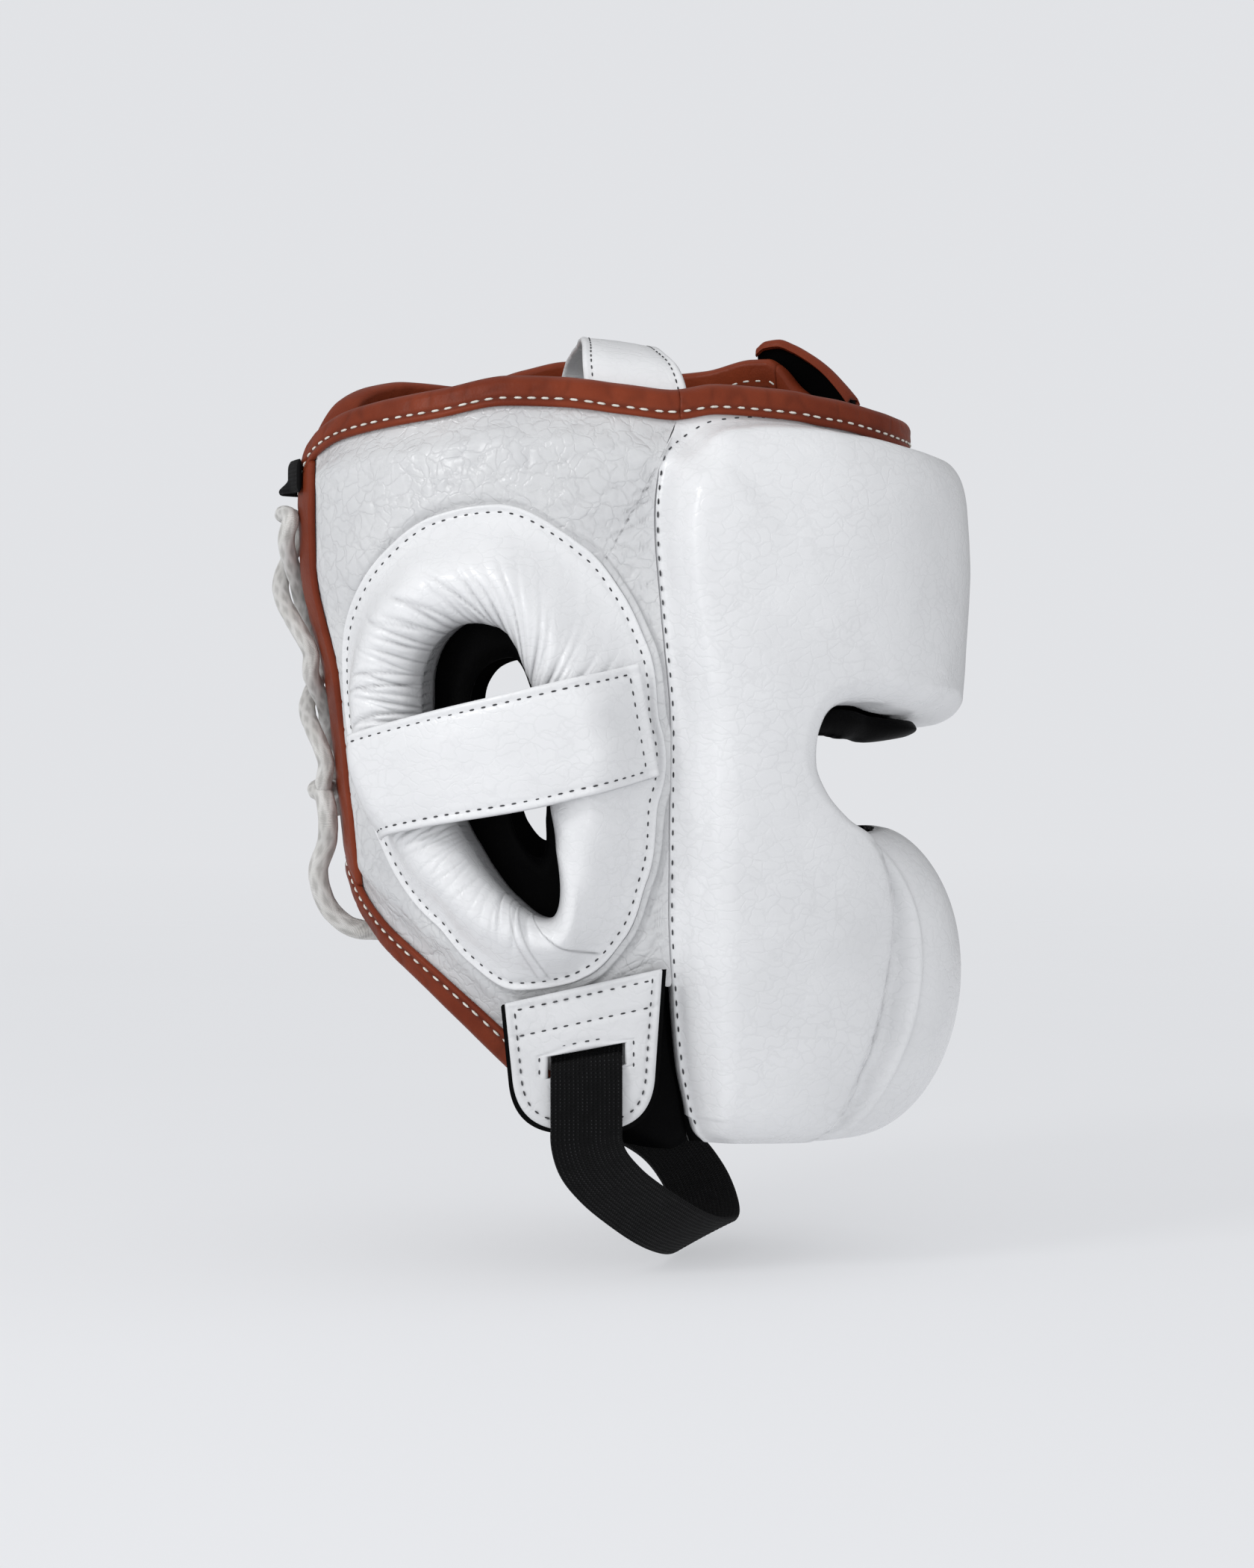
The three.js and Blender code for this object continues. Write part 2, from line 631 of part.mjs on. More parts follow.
// Lining of the forehead and cheeks, with the black roll that shows under the brow
addRings(
  "lining_front",
  BLACK,
  padCounts.map((count) => {
    const row = padRow(count);
    const { width, lens, thick } = row;
    const shown = smooth(lens / 9);
    const tall = thick * 0.46;
    const tip = width + lerp(-1, 0, row.roll);
    const profile = [
      [0.3, LINING],
      [0.3, 0],
      [12, 0],
      [width * 0.68, 0],
      [tip + 0.5 + lens, 0],
      [tip + 0.55 + lens, lerp(0.6, tall * 0.3, shown)],
      [tip + 0.45 + lens * 0.9, lerp(1.1, tall * 0.7, shown)],
      [tip + 0.35 + lens * 0.5, lerp(1.5, tall, shown)],
      [tip + 0.25 + lens * 0.12, lerp(1.8, tall * 0.86, shown)],
      [tip + 0.15, LINING],
      [width * 0.68, LINING],
      [width * 0.34, LINING],
    ];
    return profile.map(([inset, out]) => padPlace(row, inset, out));
  }),
);

// Face bar and its lining: sections from the right seam to the left seam, level with the front pad's rows
const barLevels = padCounts.filter((count) => count <= SEAM_ROWS).map(padRow);
const seamFoot = barLevels[0].z_in;
const seamHead = barLevels.at(-1).z_in;
function barSection(share, height) {
  const toEnd = smooth((Math.abs(share) - 0.3) / 0.7);
  return barLevels.map((level) => {
    const v = (level.z_in - seamFoot) / (seamHead - seamFoot);
    const z = lerp(lerp(BAR.bottom, BAR.top, v), level.z_in, toEnd);
    return onHead((Math.abs(level.a_in) - 0.3) * share, z, height(v));
  });
}
addRings(
  "face_bar",
  WHITE,
  steps(-1, 1, 14).map((share) => {
    const swell = Math.sqrt(1 - Math.abs(share) ** 2.6);
    const thick = lerp(BAR.seamThick, BAR.thick, swell * (1 - 0.12 * share * share));
    const crown = (v) => {
      const reach = v < BAR.belly ? 1 - v / BAR.belly : (v - BAR.belly) / (1 - BAR.belly);
      const round = v < BAR.belly ? BAR.footRound : BAR.headRound;
      return SEAT + 2 + (thick - SEAT - 2) * Math.sqrt(1 - reach * reach) ** round;
    };
    return [...barSection(share, crown), ...barSection(share, () => SEAT).toReversed()];
  }),
  { strips: true },
);
addRings(
  "lining_bar",
  BLACK,
  steps(-1, 1, 8).map((share) => [
    ...barSection(share, () => LINING),
    ...barSection(share, () => 0).toReversed(),
  ]),
  { strips: true },
);

// Leaf at the left top of the forehead, and its bound edge
const flapTop = (angle) => column(FLAP_TOP, "angle", "z", angle);
addRings(
  "forehead_flap",
  WHITE,
  steps(33.4, 57, 8).map((angle) => {
    const zs = steps(rimTop(1, angle) - 7.5, flapTop(angle) - 2, 2);
    return [
      ...zs.map((z) => onHead(angle, z, FLAP_OUTER)),
      ...zs.toReversed().map((z) => onHead(angle, z, FLAP_INNER)),
    ];
  }),
);
addBinding(
  "flap_binding",
  steps(33.4, 57, 8).map((angle) => ({ angle, z: flapTop(angle) - 2, down: [0, -1] })),
  { outer: 2.4, inner: 1.6, low: FLAP_INNER, high: FLAP_OUTER },
);

// Flat band along a path: each stop has its middle, the direction of its width, and its width
function addBand(name, colour, stops, thickness) {
  const rings = stops.map((stop, k) => {
    const before = stops[Math.max(0, k - 1)].middle;
    const after = stops[Math.min(stops.length - 1, k + 1)].middle;
    const along = after.clone().sub(before).normalize();
    const across = stop.across.clone().addScaledVector(along, -stop.across.dot(along)).normalize();
    const face = new THREE.Vector3().crossVectors(along, across);
    const corner = (a, b) =>
      stop.middle
        .clone()
        .addScaledVector(across, (a * stop.width) / 2)
        .addScaledVector(face, (b * thickness) / 2);
    return [corner(-1, -1), corner(1, -1), corner(1, 1), corner(-1, 1)];
  });
  addRings(name, colour, rings);
}

const crownPoints = CROWN_STRAP.map((s) => new THREE.Vector3(s.x, s.y, s.z));
const crownCurve = new THREE.CatmullRomCurve3(crownPoints, false, "centripetal");
const crownAcross = new THREE.Vector3(Math.cos(rad(CROWN_SLOPE)), 0, -Math.sin(rad(CROWN_SLOPE)));
addBand(
  "crown_strap",
  WHITE,
  steps(0, 1, 18).map((u) => {
    const middle = crownCurve.getPoint(u);
    return { middle, across: crownAcross, width: column(CROWN_STRAP, "y", "width", middle.y) };
  }),
  2,
);

// Chin tab plates: a leather plate with a slot on a slightly larger black backing
function tabShape(grow) {
  const [half, foot, corner] = [TAB.half + grow, -TAB.drop - grow, TAB.corner];
  const rise = half * Math.tan(rad(TAB.slope));
  const shape = new THREE.Shape();
  shape.moveTo(-half, grow - rise);
  shape.lineTo(-half + TAB.narrow, foot + corner);
  shape.quadraticCurveTo(-half + TAB.narrow + 1.5, foot + 1, -half + TAB.narrow + corner, foot);
  shape.lineTo(half - TAB.narrow - corner, foot);
  shape.quadraticCurveTo(half - TAB.narrow - 1.5, foot + 1, half - TAB.narrow, foot + corner);
  shape.lineTo(half, grow + rise);
  const slot = new THREE.Path();
  const corners = [[-1, -1], [1, -1], [1, 1], [-1, 1]].map(([a, b]) => {
    const across = a * SLOT.half;
    return [SLOT.along + across, SLOT.up + across * Math.tan(rad(SLOT.slope)) + (b * SLOT.height) / 2];
  });
  corners.forEach(([x, y], k) => (k === 0 ? slot.moveTo(x, y) : slot.lineTo(x, y)));
  shape.holes.push(slot);
  return shape;
}

// Point of a tab's plane: along to the front, up, and out from its backing's inner face
function onTab(side, along, up, out) {
  const lean = Math.tan(rad(TAB_PLACE.lean));
  return new THREE.Vector3(TAB_PLACE.x + along, side * (TAB_PLACE.y + up * lean + out), TAB_PLACE.z + up);
}

for (const side of [-1, 1]) {
  const plates = [
    [`tab_backing_${sideName(side)}`, BLACK, 0, TAB.backing, TAB.rim],
    [`chin_tab_${sideName(side)}`, WHITE, TAB.backing + 0.3, TAB.leather, 0],
  ];
  for (const [name, colour, from, depth, grow] of plates) {
    const cut = { depth, bevelEnabled: false, curveSegments: 6 };
    const geometry = new THREE.ExtrudeGeometry(tabShape(grow), cut);
    const flat = geometry.getAttribute("position");
    for (let k = 0; k < flat.count; k++) {
      const p = onTab(side, flat.getX(k), flat.getY(k), from + flat.getZ(k));
      flat.setXYZ(k, p.x, p.y, p.z);
    }
    if (side > 0) turnFaces(flat);
    addMesh(name, colour, geometry);
  }
}

// Swaps two corners of each loose triangle, so that a mirrored piece faces out
function turnFaces(flat) {
  for (let k = 0; k < flat.count; k += 3) {
    const [a, b] = [1, 2].map((j) => new THREE.Vector3().fromBufferAttribute(flat, k + j));
    flat.setXYZ(k + 1, b.x, b.y, b.z);
    flat.setXYZ(k + 2, a.x, a.y, a.z);
  }
}

// Chin elastic: from behind each tab out through its slot and round under the chin
const tabStretch = (side) => ELASTIC_PATH.map(({ up, out }) => onTab(side, SLOT.along, up + SLOT.up, out));
const elasticRows = [
  ...tabStretch(-1).map((middle) => ({ middle, rise: SLOT.slope })),
  ...CHIN_STRAP.map(({ x, y, z, rise }) => ({ middle: new THREE.Vector3(x, y, z), rise })),
  ...tabStretch(1)
    .toReversed()
    .map((middle) => ({ middle, rise: SLOT.slope })),
].map((row, count) => ({ ...row, count }));
const elasticCurve = new THREE.CatmullRomCurve3(elasticRows.map((row) => row.middle), false, "centripetal");
addBand(
  "chin_strap",
  BLACK,
  steps(0, elasticRows.length - 1, 2 * (elasticRows.length - 1)).map((count) => {
    const rise = rad(column(elasticRows, "count", "rise", count));
    return {
      middle: elasticCurve.getPoint(count / (elasticRows.length - 1)),
      across: new THREE.Vector3(Math.cos(rise), 0, Math.sin(rise)),
      width: ELASTIC_WIDTH,
    };
  }),
  ELASTIC,
);

// Round cord along a path
function addCord(name, colour, points, radius, count) {
  const curve = new THREE.CatmullRomCurve3(points, false, "centripetal");
  const frames = curve.computeFrenetFrames(count, false);
  const rings = steps(0, 1, count).map((u, k) => {
    const middle = curve.getPointAt(u);
    return steps(0, 360, 5)
      .slice(0, -1)
      .map((turn) =>
        middle
          .clone()
          .addScaledVector(frames.normals[k], radius * Math.cos(rad(turn)))
          .addScaledVector(frames.binormals[k], radius * Math.sin(rad(turn))),
      );
  });
  addRings(name, colour, rings);
}

// Lace: a bar across the top, then two strands that cross between the rows; the right one ends in a loop
function lacePoint(y, z, lift) {
  return onHead(180 - y / 1.5, z, EDGE + GAP + BINDING_WALL + LACE_RADIUS + 1 + lift);
}
function laceStrand(first) {
  const points = [];
  LACE_ROWS.forEach((z, row) => {
    const side = row % 2 === 0 ? first : -first;
    points.push(lacePoint(side * LACE_TURN_Y, z, row < LACE_ROWS.length - 1 ? 0 : 1.6));
    if (row < LACE_ROWS.length - 1) {
      points.push(lacePoint(side * LACE_TURN_Y * 0.9, z - 7, 1.5));
      const lift = (row % 2 === 0) === first > 0 ? LACE_OVER : LACE_UNDER;
      points.push(lacePoint(0, (z + LACE_ROWS[row + 1]) / 2, lift));
      points.push(lacePoint(-side * LACE_TURN_Y * 0.9, LACE_ROWS[row + 1] + 7, 1.5));
    }
  });
  return points;
}
const foot = LACE_FOOT.map((p) => new THREE.Vector3(p.x, p.y, p.z));
addCord(
  "back_lace",
  LACE_WHITE,
  [...laceStrand(-1).toReversed(), lacePoint(0, LACE_ROWS[0] + 3, 2), ...laceStrand(1), ...foot],
  LACE_RADIUS,
  64,
);

// Black webbing across the top of the back, lying on the rim's corners
addRings(
  "back_webbing",
  BLACK,
  steps(163, 197, 10).map((angle) => {
    const seat = EDGE + FOLD_ROOM + BINDING_WALL + 0.6;
    const bow = 4.5 * smooth((10 - Math.abs(angle - 180)) / 8);
    const zs = steps(WEBBING.low, WEBBING.high, 2);
    return [
      ...zs.map((z) => onHead(angle, z, seat + bow + WEBBING.thick)),
      ...zs.toReversed().map((z) => onHead(angle, z, seat + bow)),
    ];
  }),
  { strips: true },
);

export default group;
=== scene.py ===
"""Looks of a full-face sparring head guard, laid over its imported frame.

The tables are in millimetres: +X to the face, +Y to the wearer's left, +Z up from the crown of the head.
Most pieces are functions of an angle round the head (0 at the face, 90 at the ear, 180 at the back),
a height z, and a distance out from the head form. Right pieces have negative angles.
"""
import math

import bpy
import numpy as np
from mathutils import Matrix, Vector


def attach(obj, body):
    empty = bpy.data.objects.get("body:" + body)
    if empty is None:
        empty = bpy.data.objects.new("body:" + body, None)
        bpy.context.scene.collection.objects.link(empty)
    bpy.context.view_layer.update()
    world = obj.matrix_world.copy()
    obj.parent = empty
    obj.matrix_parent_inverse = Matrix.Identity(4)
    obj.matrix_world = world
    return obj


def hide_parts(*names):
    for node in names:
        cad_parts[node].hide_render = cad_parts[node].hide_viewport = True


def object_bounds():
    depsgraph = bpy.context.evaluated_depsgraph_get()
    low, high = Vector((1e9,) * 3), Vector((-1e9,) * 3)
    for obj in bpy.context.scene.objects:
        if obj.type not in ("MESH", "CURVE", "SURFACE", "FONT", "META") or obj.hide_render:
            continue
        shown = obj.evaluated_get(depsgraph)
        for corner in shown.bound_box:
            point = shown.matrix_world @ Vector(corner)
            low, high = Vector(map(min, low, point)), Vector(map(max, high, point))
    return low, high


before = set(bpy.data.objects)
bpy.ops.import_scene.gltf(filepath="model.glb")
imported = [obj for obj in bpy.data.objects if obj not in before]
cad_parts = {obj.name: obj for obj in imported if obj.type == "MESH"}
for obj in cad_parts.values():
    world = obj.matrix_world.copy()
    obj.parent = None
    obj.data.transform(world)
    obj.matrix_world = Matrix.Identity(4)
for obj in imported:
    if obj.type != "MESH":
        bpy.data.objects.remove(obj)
cad_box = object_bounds()
scene = bpy.context.scene

# Driving sizes; those that the part's source has too are the same there
MM = 0.001
WIDEST_X = -10
ROUNDNESS = 2.2
LINING = 2
SEAT = 2.6
EDGE = 6
PANEL = 12.5
BINDING_LEG = 9
BINDING_WALL = 1.6
FACING_WIDTH = 20
STEEP_RIM_LIP = 2.4
RIM_JOINT = 74.85
JOINT_BEFORE = 52
SOLID_SECTIONS = 43
LOWER_BINDING_END = 84.5
BACK_EDGE_ANGLE = 171.5
EAR_ANGLE = 104
EAR_Z = -148
MM_PER_DEGREE = 1.75
FRONT_MM_PER_DEGREE = 1.8
BACK_MM_PER_DEGREE = 1.5
LOWER_MM_PER_DEGREE = 1.45
EAR_PAD_RISE = 18
EAR_PAD_FLANGE = 2.6
EAR_PAD_GAP = 0.2
EAR_PAD_SEWN_IN = 2.7
EAR_ROLL_START = 0.62
EAR_SKIRT = 4
STRAP_LEATHER = 2.4
ELASTIC_WIDTH = 25
ELASTIC = 2
LACE_RADIUS = 3.1
FOLD_ROOM = 1.1
RIM_UNDER_BINDING = 2
SEWN_GAP = 0.2


def table(names, rows):
    """Columns of a short table, by name."""
    return dict(zip(names.split(), np.array(rows, float).T))


HEAD_FORM = table("z front back half", [
    (-295, 83.5, -69, 58), (-240, 90, -80, 68), (-200, 93, -88, 74.5), (-160, 95, -92.5, 79),
    (-120, 97, -97, 80.5), (-80, 99, -106, 79), (-45, 101, -107, 74.5), (-15, 101, -102, 67),
    (20, 95, -88, 52),
])
RIM = table("angle right left", [
    (0, -26, -26), (15, -25, -25), (27, -23, -21), (40, -20, -14.5), (46, -19, -8.5), (50, -18, -1),
    (53, -17.5, 2), (57, -17, 2), (68, -16, -2), (76, -18, -3), (85, -16, 0), (93, -13.5, 2),
    (104, -13, -1.5), (118, -17, -8), (137, -21, -7), (148, -24, -9), (158, -29, -14), (166, -37, -26),
    (172, -46, -40),
])
SEAM = table("z angle", [
    (-295, 68.5), (-272, 71), (-255, 73.4), (-232, 75), (-198, 76.3), (-135, 76.5), (-98, 78.2),
    (-62, 79.5), (-44, 78.6), (-30, 75.4), (10, 74.5),
])
LOWER_EDGE = table("angle z", [
    (60, -287), (74, -286), (84, -283), (96, -270.5), (110, -254), (122, -239.5), (135, -226),
    (150, -213), (160, -203.5), (172, -190),
])
PANEL_SHORT = table("z share", [(-290, 0.80), (-262, 0.72), (-241, 0.80), (-225, 1), (20, 1)])
EAR = table("direction lining hole pad", [
    (0, 36, 46, 89), (15, 35, 49, 88), (30, 32, 47, 84), (45, 27, 43, 81), (60, 20, 37, 80),
    (90, 12, 30, 72), (120, 10, 27, 65), (150, 12, 32, 66), (165, 16, 38, 73), (180, 27, 47, 80),
    (195, 35, 56, 80), (210, 23, 33, 71), (225, 17, 21, 59), (255, 12, 15, 47), (285, 12, 14, 47),
    (315, 14, 17, 58), (330, 18, 22, 68), (345, 26, 31, 81), (360, 36, 46, 89),
])
EAR_ROUND = {key: np.concatenate([values[-4:-1], values, values[1:4]]) for key, values in EAR.items()}
EAR_ROUND["direction"][:3] -= 360
EAR_ROUND["direction"][-3:] += 360
ON_RIM = np.nan
FRONT_PAD = table("a_in z_in a_out z_out edge lip ramp thick roll lens", [
    (36.5, -285.5, 66, -283.5, 5, 1, 8, 9, 0, 0),
    (35.6, -282.5, 68.6, -279.5, 8, 1, 9, 17, 0, 0),
    (33.5, -276, 70.4, -272, 10, 1.5, 10, 22, 0, 0),
    (30, -258, 73, -256, 11, 2, 12, 25, 0, 0),
    (26.8, -236, 74.6, -234, 11.5, 2, 13, 26.5, 0, 0),
    (25.4, -208, 75.8, -212, 12, 2, 13, 27, 0, 0),
    (28, -188, 76, -194, 12, 2, 13, 26.5, 0.1, 0),
    (33.5, -175, 76, -180, 12, 2, 13, 26, 0.5, 0),
    (40, -168.5, 76, -166, 12, 2, 13, 25.5, 1, 0),
    (45.3, -160, 76.1, -153, 12, 2, 13, 25.5, 1, 0),
    (48.3, -150, 76.2, -139, 12, 2, 13, 26, 1, 0),
    (48.8, -142, 77, -115, 12, 2, 13, 27, 1, 1),
    (48, -135, 78.5, -85, 12, 2, 13, 28, 1, 6),
    (45.5, -130.5, 79.2, -56, 11.5, 2.5, 14, 28.5, 1, 11),
    (42, -129, 76.6, -36, 6, 5, 16, 29, 1, 12.5),
    (38, -129, 68, ON_RIM, 6, 9.8, 19, 29.5, 1, 12.5),
    (33, -129.5, 55, ON_RIM, 6, 9.8, 17, 30.5, 1, 11.5),
    (25, -132, 38, ON_RIM, 6, 9.8, 14, 31.5, 1, 10),
    (13, -133.5, 19, ON_RIM, 6, 9.8, 13, 32, 1, 7.5),
    (0, -138, 0, ON_RIM, 6, 9.8, 13, 32.5, 1, 2.5),
])
SEAM_ROWS = 7
BAR = {"top": -174, "bottom": -286, "thick": 37.5, "seam": 17, "belly": 0.47, "foot": 0.95, "head": 1.2}
FLAP_TOP = table("angle z", [
    (33, -13), (36.5, -7), (40.5, -0.5), (44.2, 4), (48, 7.5), (51.6, 9.5), (54.8, 9), (57.2, 6.5),
])
FLAP_ANGLES = (33.4, 57)
FLAP_FOOT = 7.5
FLAP_INNER = 8.9
FLAP_OUTER = 11.6
EAR_STRAP = table("angle top bottom foot", [
    (82, -114, -153, -3.4), (98, -122.5, -163.5, -1), (116, -131, -170, 0), (133, -139, -176, -1.5),
])
EAR_STRAP_WIDTH = 40
CROWN_STRAP = table("y z x width", [
    (-63.3, -31, 9.5, 37), (-60.6, -18, 8.5, 36), (-52, -8, 6.5, 34), (-34, -0.5, 3.5, 29),
    (-8, 2.6, 1.5, 27), (22, 2.8, 0, 27), (42, 1, -1.5, 29), (52.5, -3, -2.5, 32), (58.6, -10, -3, 34),
    (61.8, -20, -3, 34),
])
CROWN_SLOPE = 8
CROWN_LEATHER = 2.0
TAB = {"half": 27.4, "slope": 12.5, "narrow": 2.6, "drop": 50.5, "corner": 18, "leather": 2, "backing": 1.2,
       "rim": 1.4}
SLOT = {"along": 1, "up": -26, "half": 13.4, "height": 7.6, "slope": 10.6}
TAB_PLACE = {"x": -9.6, "y": 85.6, "z": -226, "lean": 4}
TAB_GAP = 0.3
TAB_SEWN_IN = 3.2
TAB_SECOND_ROW = 12.5
SLOT_SEWN_OUT = 3
ELASTIC_PATH = table("up out", [
    (13, -1.7), (5, -1.6), (0.6, 0.2), (-0.6, 3.2), (-5, 5.8), (-14, 6.4), (-23, 6.8), (-28, 6.2),
])
CHIN_STRAP = table("x y z rise", [
    (-6.5, -83, -288, 15), (-0.3, -74, -297, 20), (9.7, -59, -307, 26), (21.6, -39, -317, 30),
    (31, -14, -323, 30), (35.5, 8, -323, 24), (34.6, 30, -316, 14), (30, 48, -307, 8), (21, 66, -298, 8),
    (4, 82, -288.5, 9),
])
LACE_ROWS = (-62, -110, -150, -170)
LACE_TURN_Y = 19
LACE_OVER = 4.5
LACE_UNDER = -2.3
LACE_FOOT = np.array([
    (-103.5, -19, -178), (-107, -17.5, -190), (-102.6, -17, -203.5), (-94, -17.5, -210), (-82, -17, -211),
])
WEBBING = {"low": -52, "high": -40, "thick": 1.8, "first": 163, "last": 197}
RIB_PITCH = 1.55
CROSS_PITCH = 1.25
BRAID_STRANDS = 5
BRAID_PITCH = 13.0

# Stitches of each sewn piece: pitch, length, width, height, and the seed of their lie
STITCHES = {
    "binding_stitches": (4.9, 3.4, 0.85, 0.8, 140),
    "crown_strap_stitches": (3.6, 2.4, 0.55, 0.45, 151),
    "chin_tab_stitches": (3.9, 2.0, 0.6, 0.55, 161),
    "front_seam_stitches": (5.0, 2.3, 0.62, 0.6, 180),
    "ear_pad_stitches": (4.0, 1.9, 0.6, 0.55, 181),
    "ear_strap_stitches": (4.0, 2.0, 0.6, 0.55, 182),
}
CROWN_SEWN_IN = 3
STRAP_SEWN_SHARE = 0.075
STRAP_SEWN_ANGLE = 83.7

# How finely surfaces are cut: sections or parts along, columns across, rays from an opening, rings round it
FRONT_PAD_SECTIONS = 410
FRONT_LINING_SECTIONS = 260
BAR_COLUMNS = 161
BAR_ROWS = 110
BAR_LINING_COLUMNS = 60
BAR_LINING_ROWS = 40
SIDE_LINING_RAYS = 420
SIDE_LINING_RINGS = 16
PANEL_RAYS = 580
PANEL_RINGS = 68
EAR_PAD_RAYS = 870
EAR_STRAP_SECTIONS = 110
EAR_STRAP_COLUMNS = 56
BINDING_SECTIONS = {"front": 220, "side": 200, "back": 110, "lower": 150}
CROWN_PARTS = 12
CROWN_COLUMNS = 40
TAB_RAYS = 360
TAB_RINGS = 28
TAB_BACKING_RAYS = 280
TAB_BACKING_RINGS = 13
ELASTIC_PARTS = 8
ELASTIC_COLUMNS = 64
LACE_STEP = 0.65
LACE_SIDES = 28
WEBBING_SECTIONS = 80
WEBBING_COLUMNS = 26
FLAP_SECTIONS = 80
FLAP_COLUMNS = 30


def lerp(a, b, t):
    """Straight way from a to b by share t."""
    return a + (b - a) * t


def smooth(t):
    """Eased step from 0 to 1: 3t^2 - 2t^3, held outside."""
    t = np.clip(t, 0, 1)
    return t * t * (3 - 2 * t)


def hump(x, width):
    """Bell of height 1 round zero: exp(-(x / width)^2)."""
    return np.exp(-((x / width) ** 2))


def power(v, e):
    """Signed power: sign(v) |v|^e."""
    return np.sign(v) * np.abs(v) ** e


def column(rows, along, key, at):
    """Smooth value of one column at places of another: cubic between rows, each slope a harmonic mean."""
    x, y = rows[along], rows[key]
    at = np.clip(np.asarray(at, float), x[0], x[-1])
    slope = np.diff(y) / np.diff(x)
    before, after = slope[:-1], slope[1:]
    total = np.where(before * after > 0, before + after, 1)
    inner = np.where(before * after > 0, 2 * before * after / total, 0)
    tangent = np.concatenate([slope[:1], inner, slope[-1:]])
    i = np.clip(np.searchsorted(x, at) - 1, 0, len(x) - 2)
    span = x[i + 1] - x[i]
    return hermite((at - x[i]) / span, y[i], y[i + 1], span * tangent[i], span * tangent[i + 1])


def hermite(u, start, end, leaving, arriving):
    """Cubic from start to end with the given slopes at share u."""
    u2, u3 = u * u, u * u * u
    from_start = (2 * u3 - 3 * u2 + 1) * start + (u3 - 2 * u2 + u) * leaving
    return from_start + (3 * u2 - 2 * u3) * end + (u3 - u2) * arriving


def field(x, y, seed):
    """Smooth random field from -1 to 1: random values on a unit lattice, eased between its corners."""
    values = np.random.default_rng(seed).uniform(-1, 1, (128, 128))
    i, j = np.floor(x).astype(int), np.floor(y).astype(int)
    u, v = smooth(x - i), smooth(y - j)
    near = lerp(values[i % 128, j % 128], values[(i + 1) % 128, j % 128], u)
    far = lerp(values[i % 128, (j + 1) % 128], values[(i + 1) % 128, (j + 1) % 128], u)
    return lerp(near, far, v)


def creases(x, y, seed, width):
    """Narrow valleys along the zero lines of a random field: 1 in a valley, 0 away from it."""
    return hump(field(x, y, seed), width)


def on_head(angle, z, out):
    """Point out from the head form: a superellipse round the head at height z, moved along its normal."""
    angle, z, out = np.broadcast_arrays(*(np.asarray(v, float) for v in (angle, z, out)))
    c, s = np.cos(np.radians(angle)), np.sin(np.radians(angle))
    e = 2 / ROUNDNESS
    front = column(HEAD_FORM, "z", "front", z) - WIDEST_X
    back = WIDEST_X - column(HEAD_FORM, "z", "back", z)
    reach = np.where(c >= 0, front, back)
    half = column(HEAD_FORM, "z", "half", z)
    nx, ny = power(c, 2 - e) / reach, power(s, 2 - e) / half
    length = np.hypot(nx, ny)
    x = WIDEST_X + reach * power(c, e) + out * nx / length
    y = half * power(s, e) + out * ny / length
    return np.stack([x, y, z], -1)


def rim_top(side, angle):
    """Height of the rim at an angle, from the column of its side."""
    angle = np.abs(angle)
    right, left = column(RIM, "angle", "right", angle), column(RIM, "angle", "left", angle)
    return np.where(np.asarray(side) < 0, right, left)


def rim_edge(side, angle):
    """Edge of the layers under the rim binding, a little below the rim's top."""
    return rim_top(side, angle) - RIM_UNDER_BINDING


def seam_angle(z):
    """Angle of the seam between front pad and side panel."""
    return column(SEAM, "z", "angle", z)


def lower_edge(angle):
    """Height of the slanting lower edge."""
    return column(LOWER_EDGE, "angle", "z", angle)


def ear_radius(key, direction):
    """Radius of an outline round the ear centre."""
    return column(EAR_ROUND, "direction", key, np.mod(direction, 360))


def ear_place(direction, radius):
    """Angle and height of a place at a direction and distance from the ear centre."""
    turn = np.radians(direction)
    return EAR_ANGLE + radius * np.sin(turn) / MM_PER_DEGREE, EAR_Z + radius * np.cos(turn)


def ear_polar(angle, z):
    """Direction and distance of a place from the ear centre."""
    across, up = (angle - EAR_ANGLE) * MM_PER_DEGREE, z - EAR_Z
    return np.mod(np.degrees(np.arctan2(across, up)), 360), np.hypot(across, up)


def panel_room(side, angle, z):
    """Distance from the nearest binding on a side panel."""
    from_rim = rim_edge(side, angle) - z - BINDING_LEG
    from_back = (BACK_EDGE_ANGLE - angle) * BACK_MM_PER_DEGREE - FACING_WIDTH
    from_foot = (z - lower_edge(angle)) * 0.75 - BINDING_LEG
    return np.minimum(np.minimum(from_rim, from_back), from_foot) - 0.8


def panel_height(side, angle, z):
    """Outer face of a side panel: thin under the bindings, eased to full height in the field."""
    return EDGE + (PANEL - EDGE) * smooth(panel_room(side, angle, z) / 13)


def ear_rise(share):
    """Ear pad above its panel, by share of the way from seam to opening: a flange, then an eased climb."""
    return EAR_PAD_FLANGE + (EAR_PAD_RISE - EAR_PAD_FLANGE) * smooth((share - 0.06) / 0.58)


def pad_rows():
    """Front pad's rows from the right foot over the brow to the left foot, numbered from 0."""
    sides = []
    for side in (-1, 1):
        rows = {key: values.copy() for key, values in FRONT_PAD.items()}
        rim = np.isnan(rows["z_out"])
        rows["z_out"][rim] = rim_edge(side, rows["a_out"][rim])
        rows["lip"][rim] += STEEP_RIM_LIP * (side > 0)
        rows["a_in"] *= side
        rows["a_out"] *= side
        sides.append(rows)
    joined = {key: np.concatenate([sides[0][key], sides[1][key][-2::-1]]) for key in FRONT_PAD}
    joined["count"] = np.arange(len(joined["lip"]), dtype=float)
    return joined


PAD_ROWS = pad_rows()
LAST_ROW = PAD_ROWS["count"][-1]
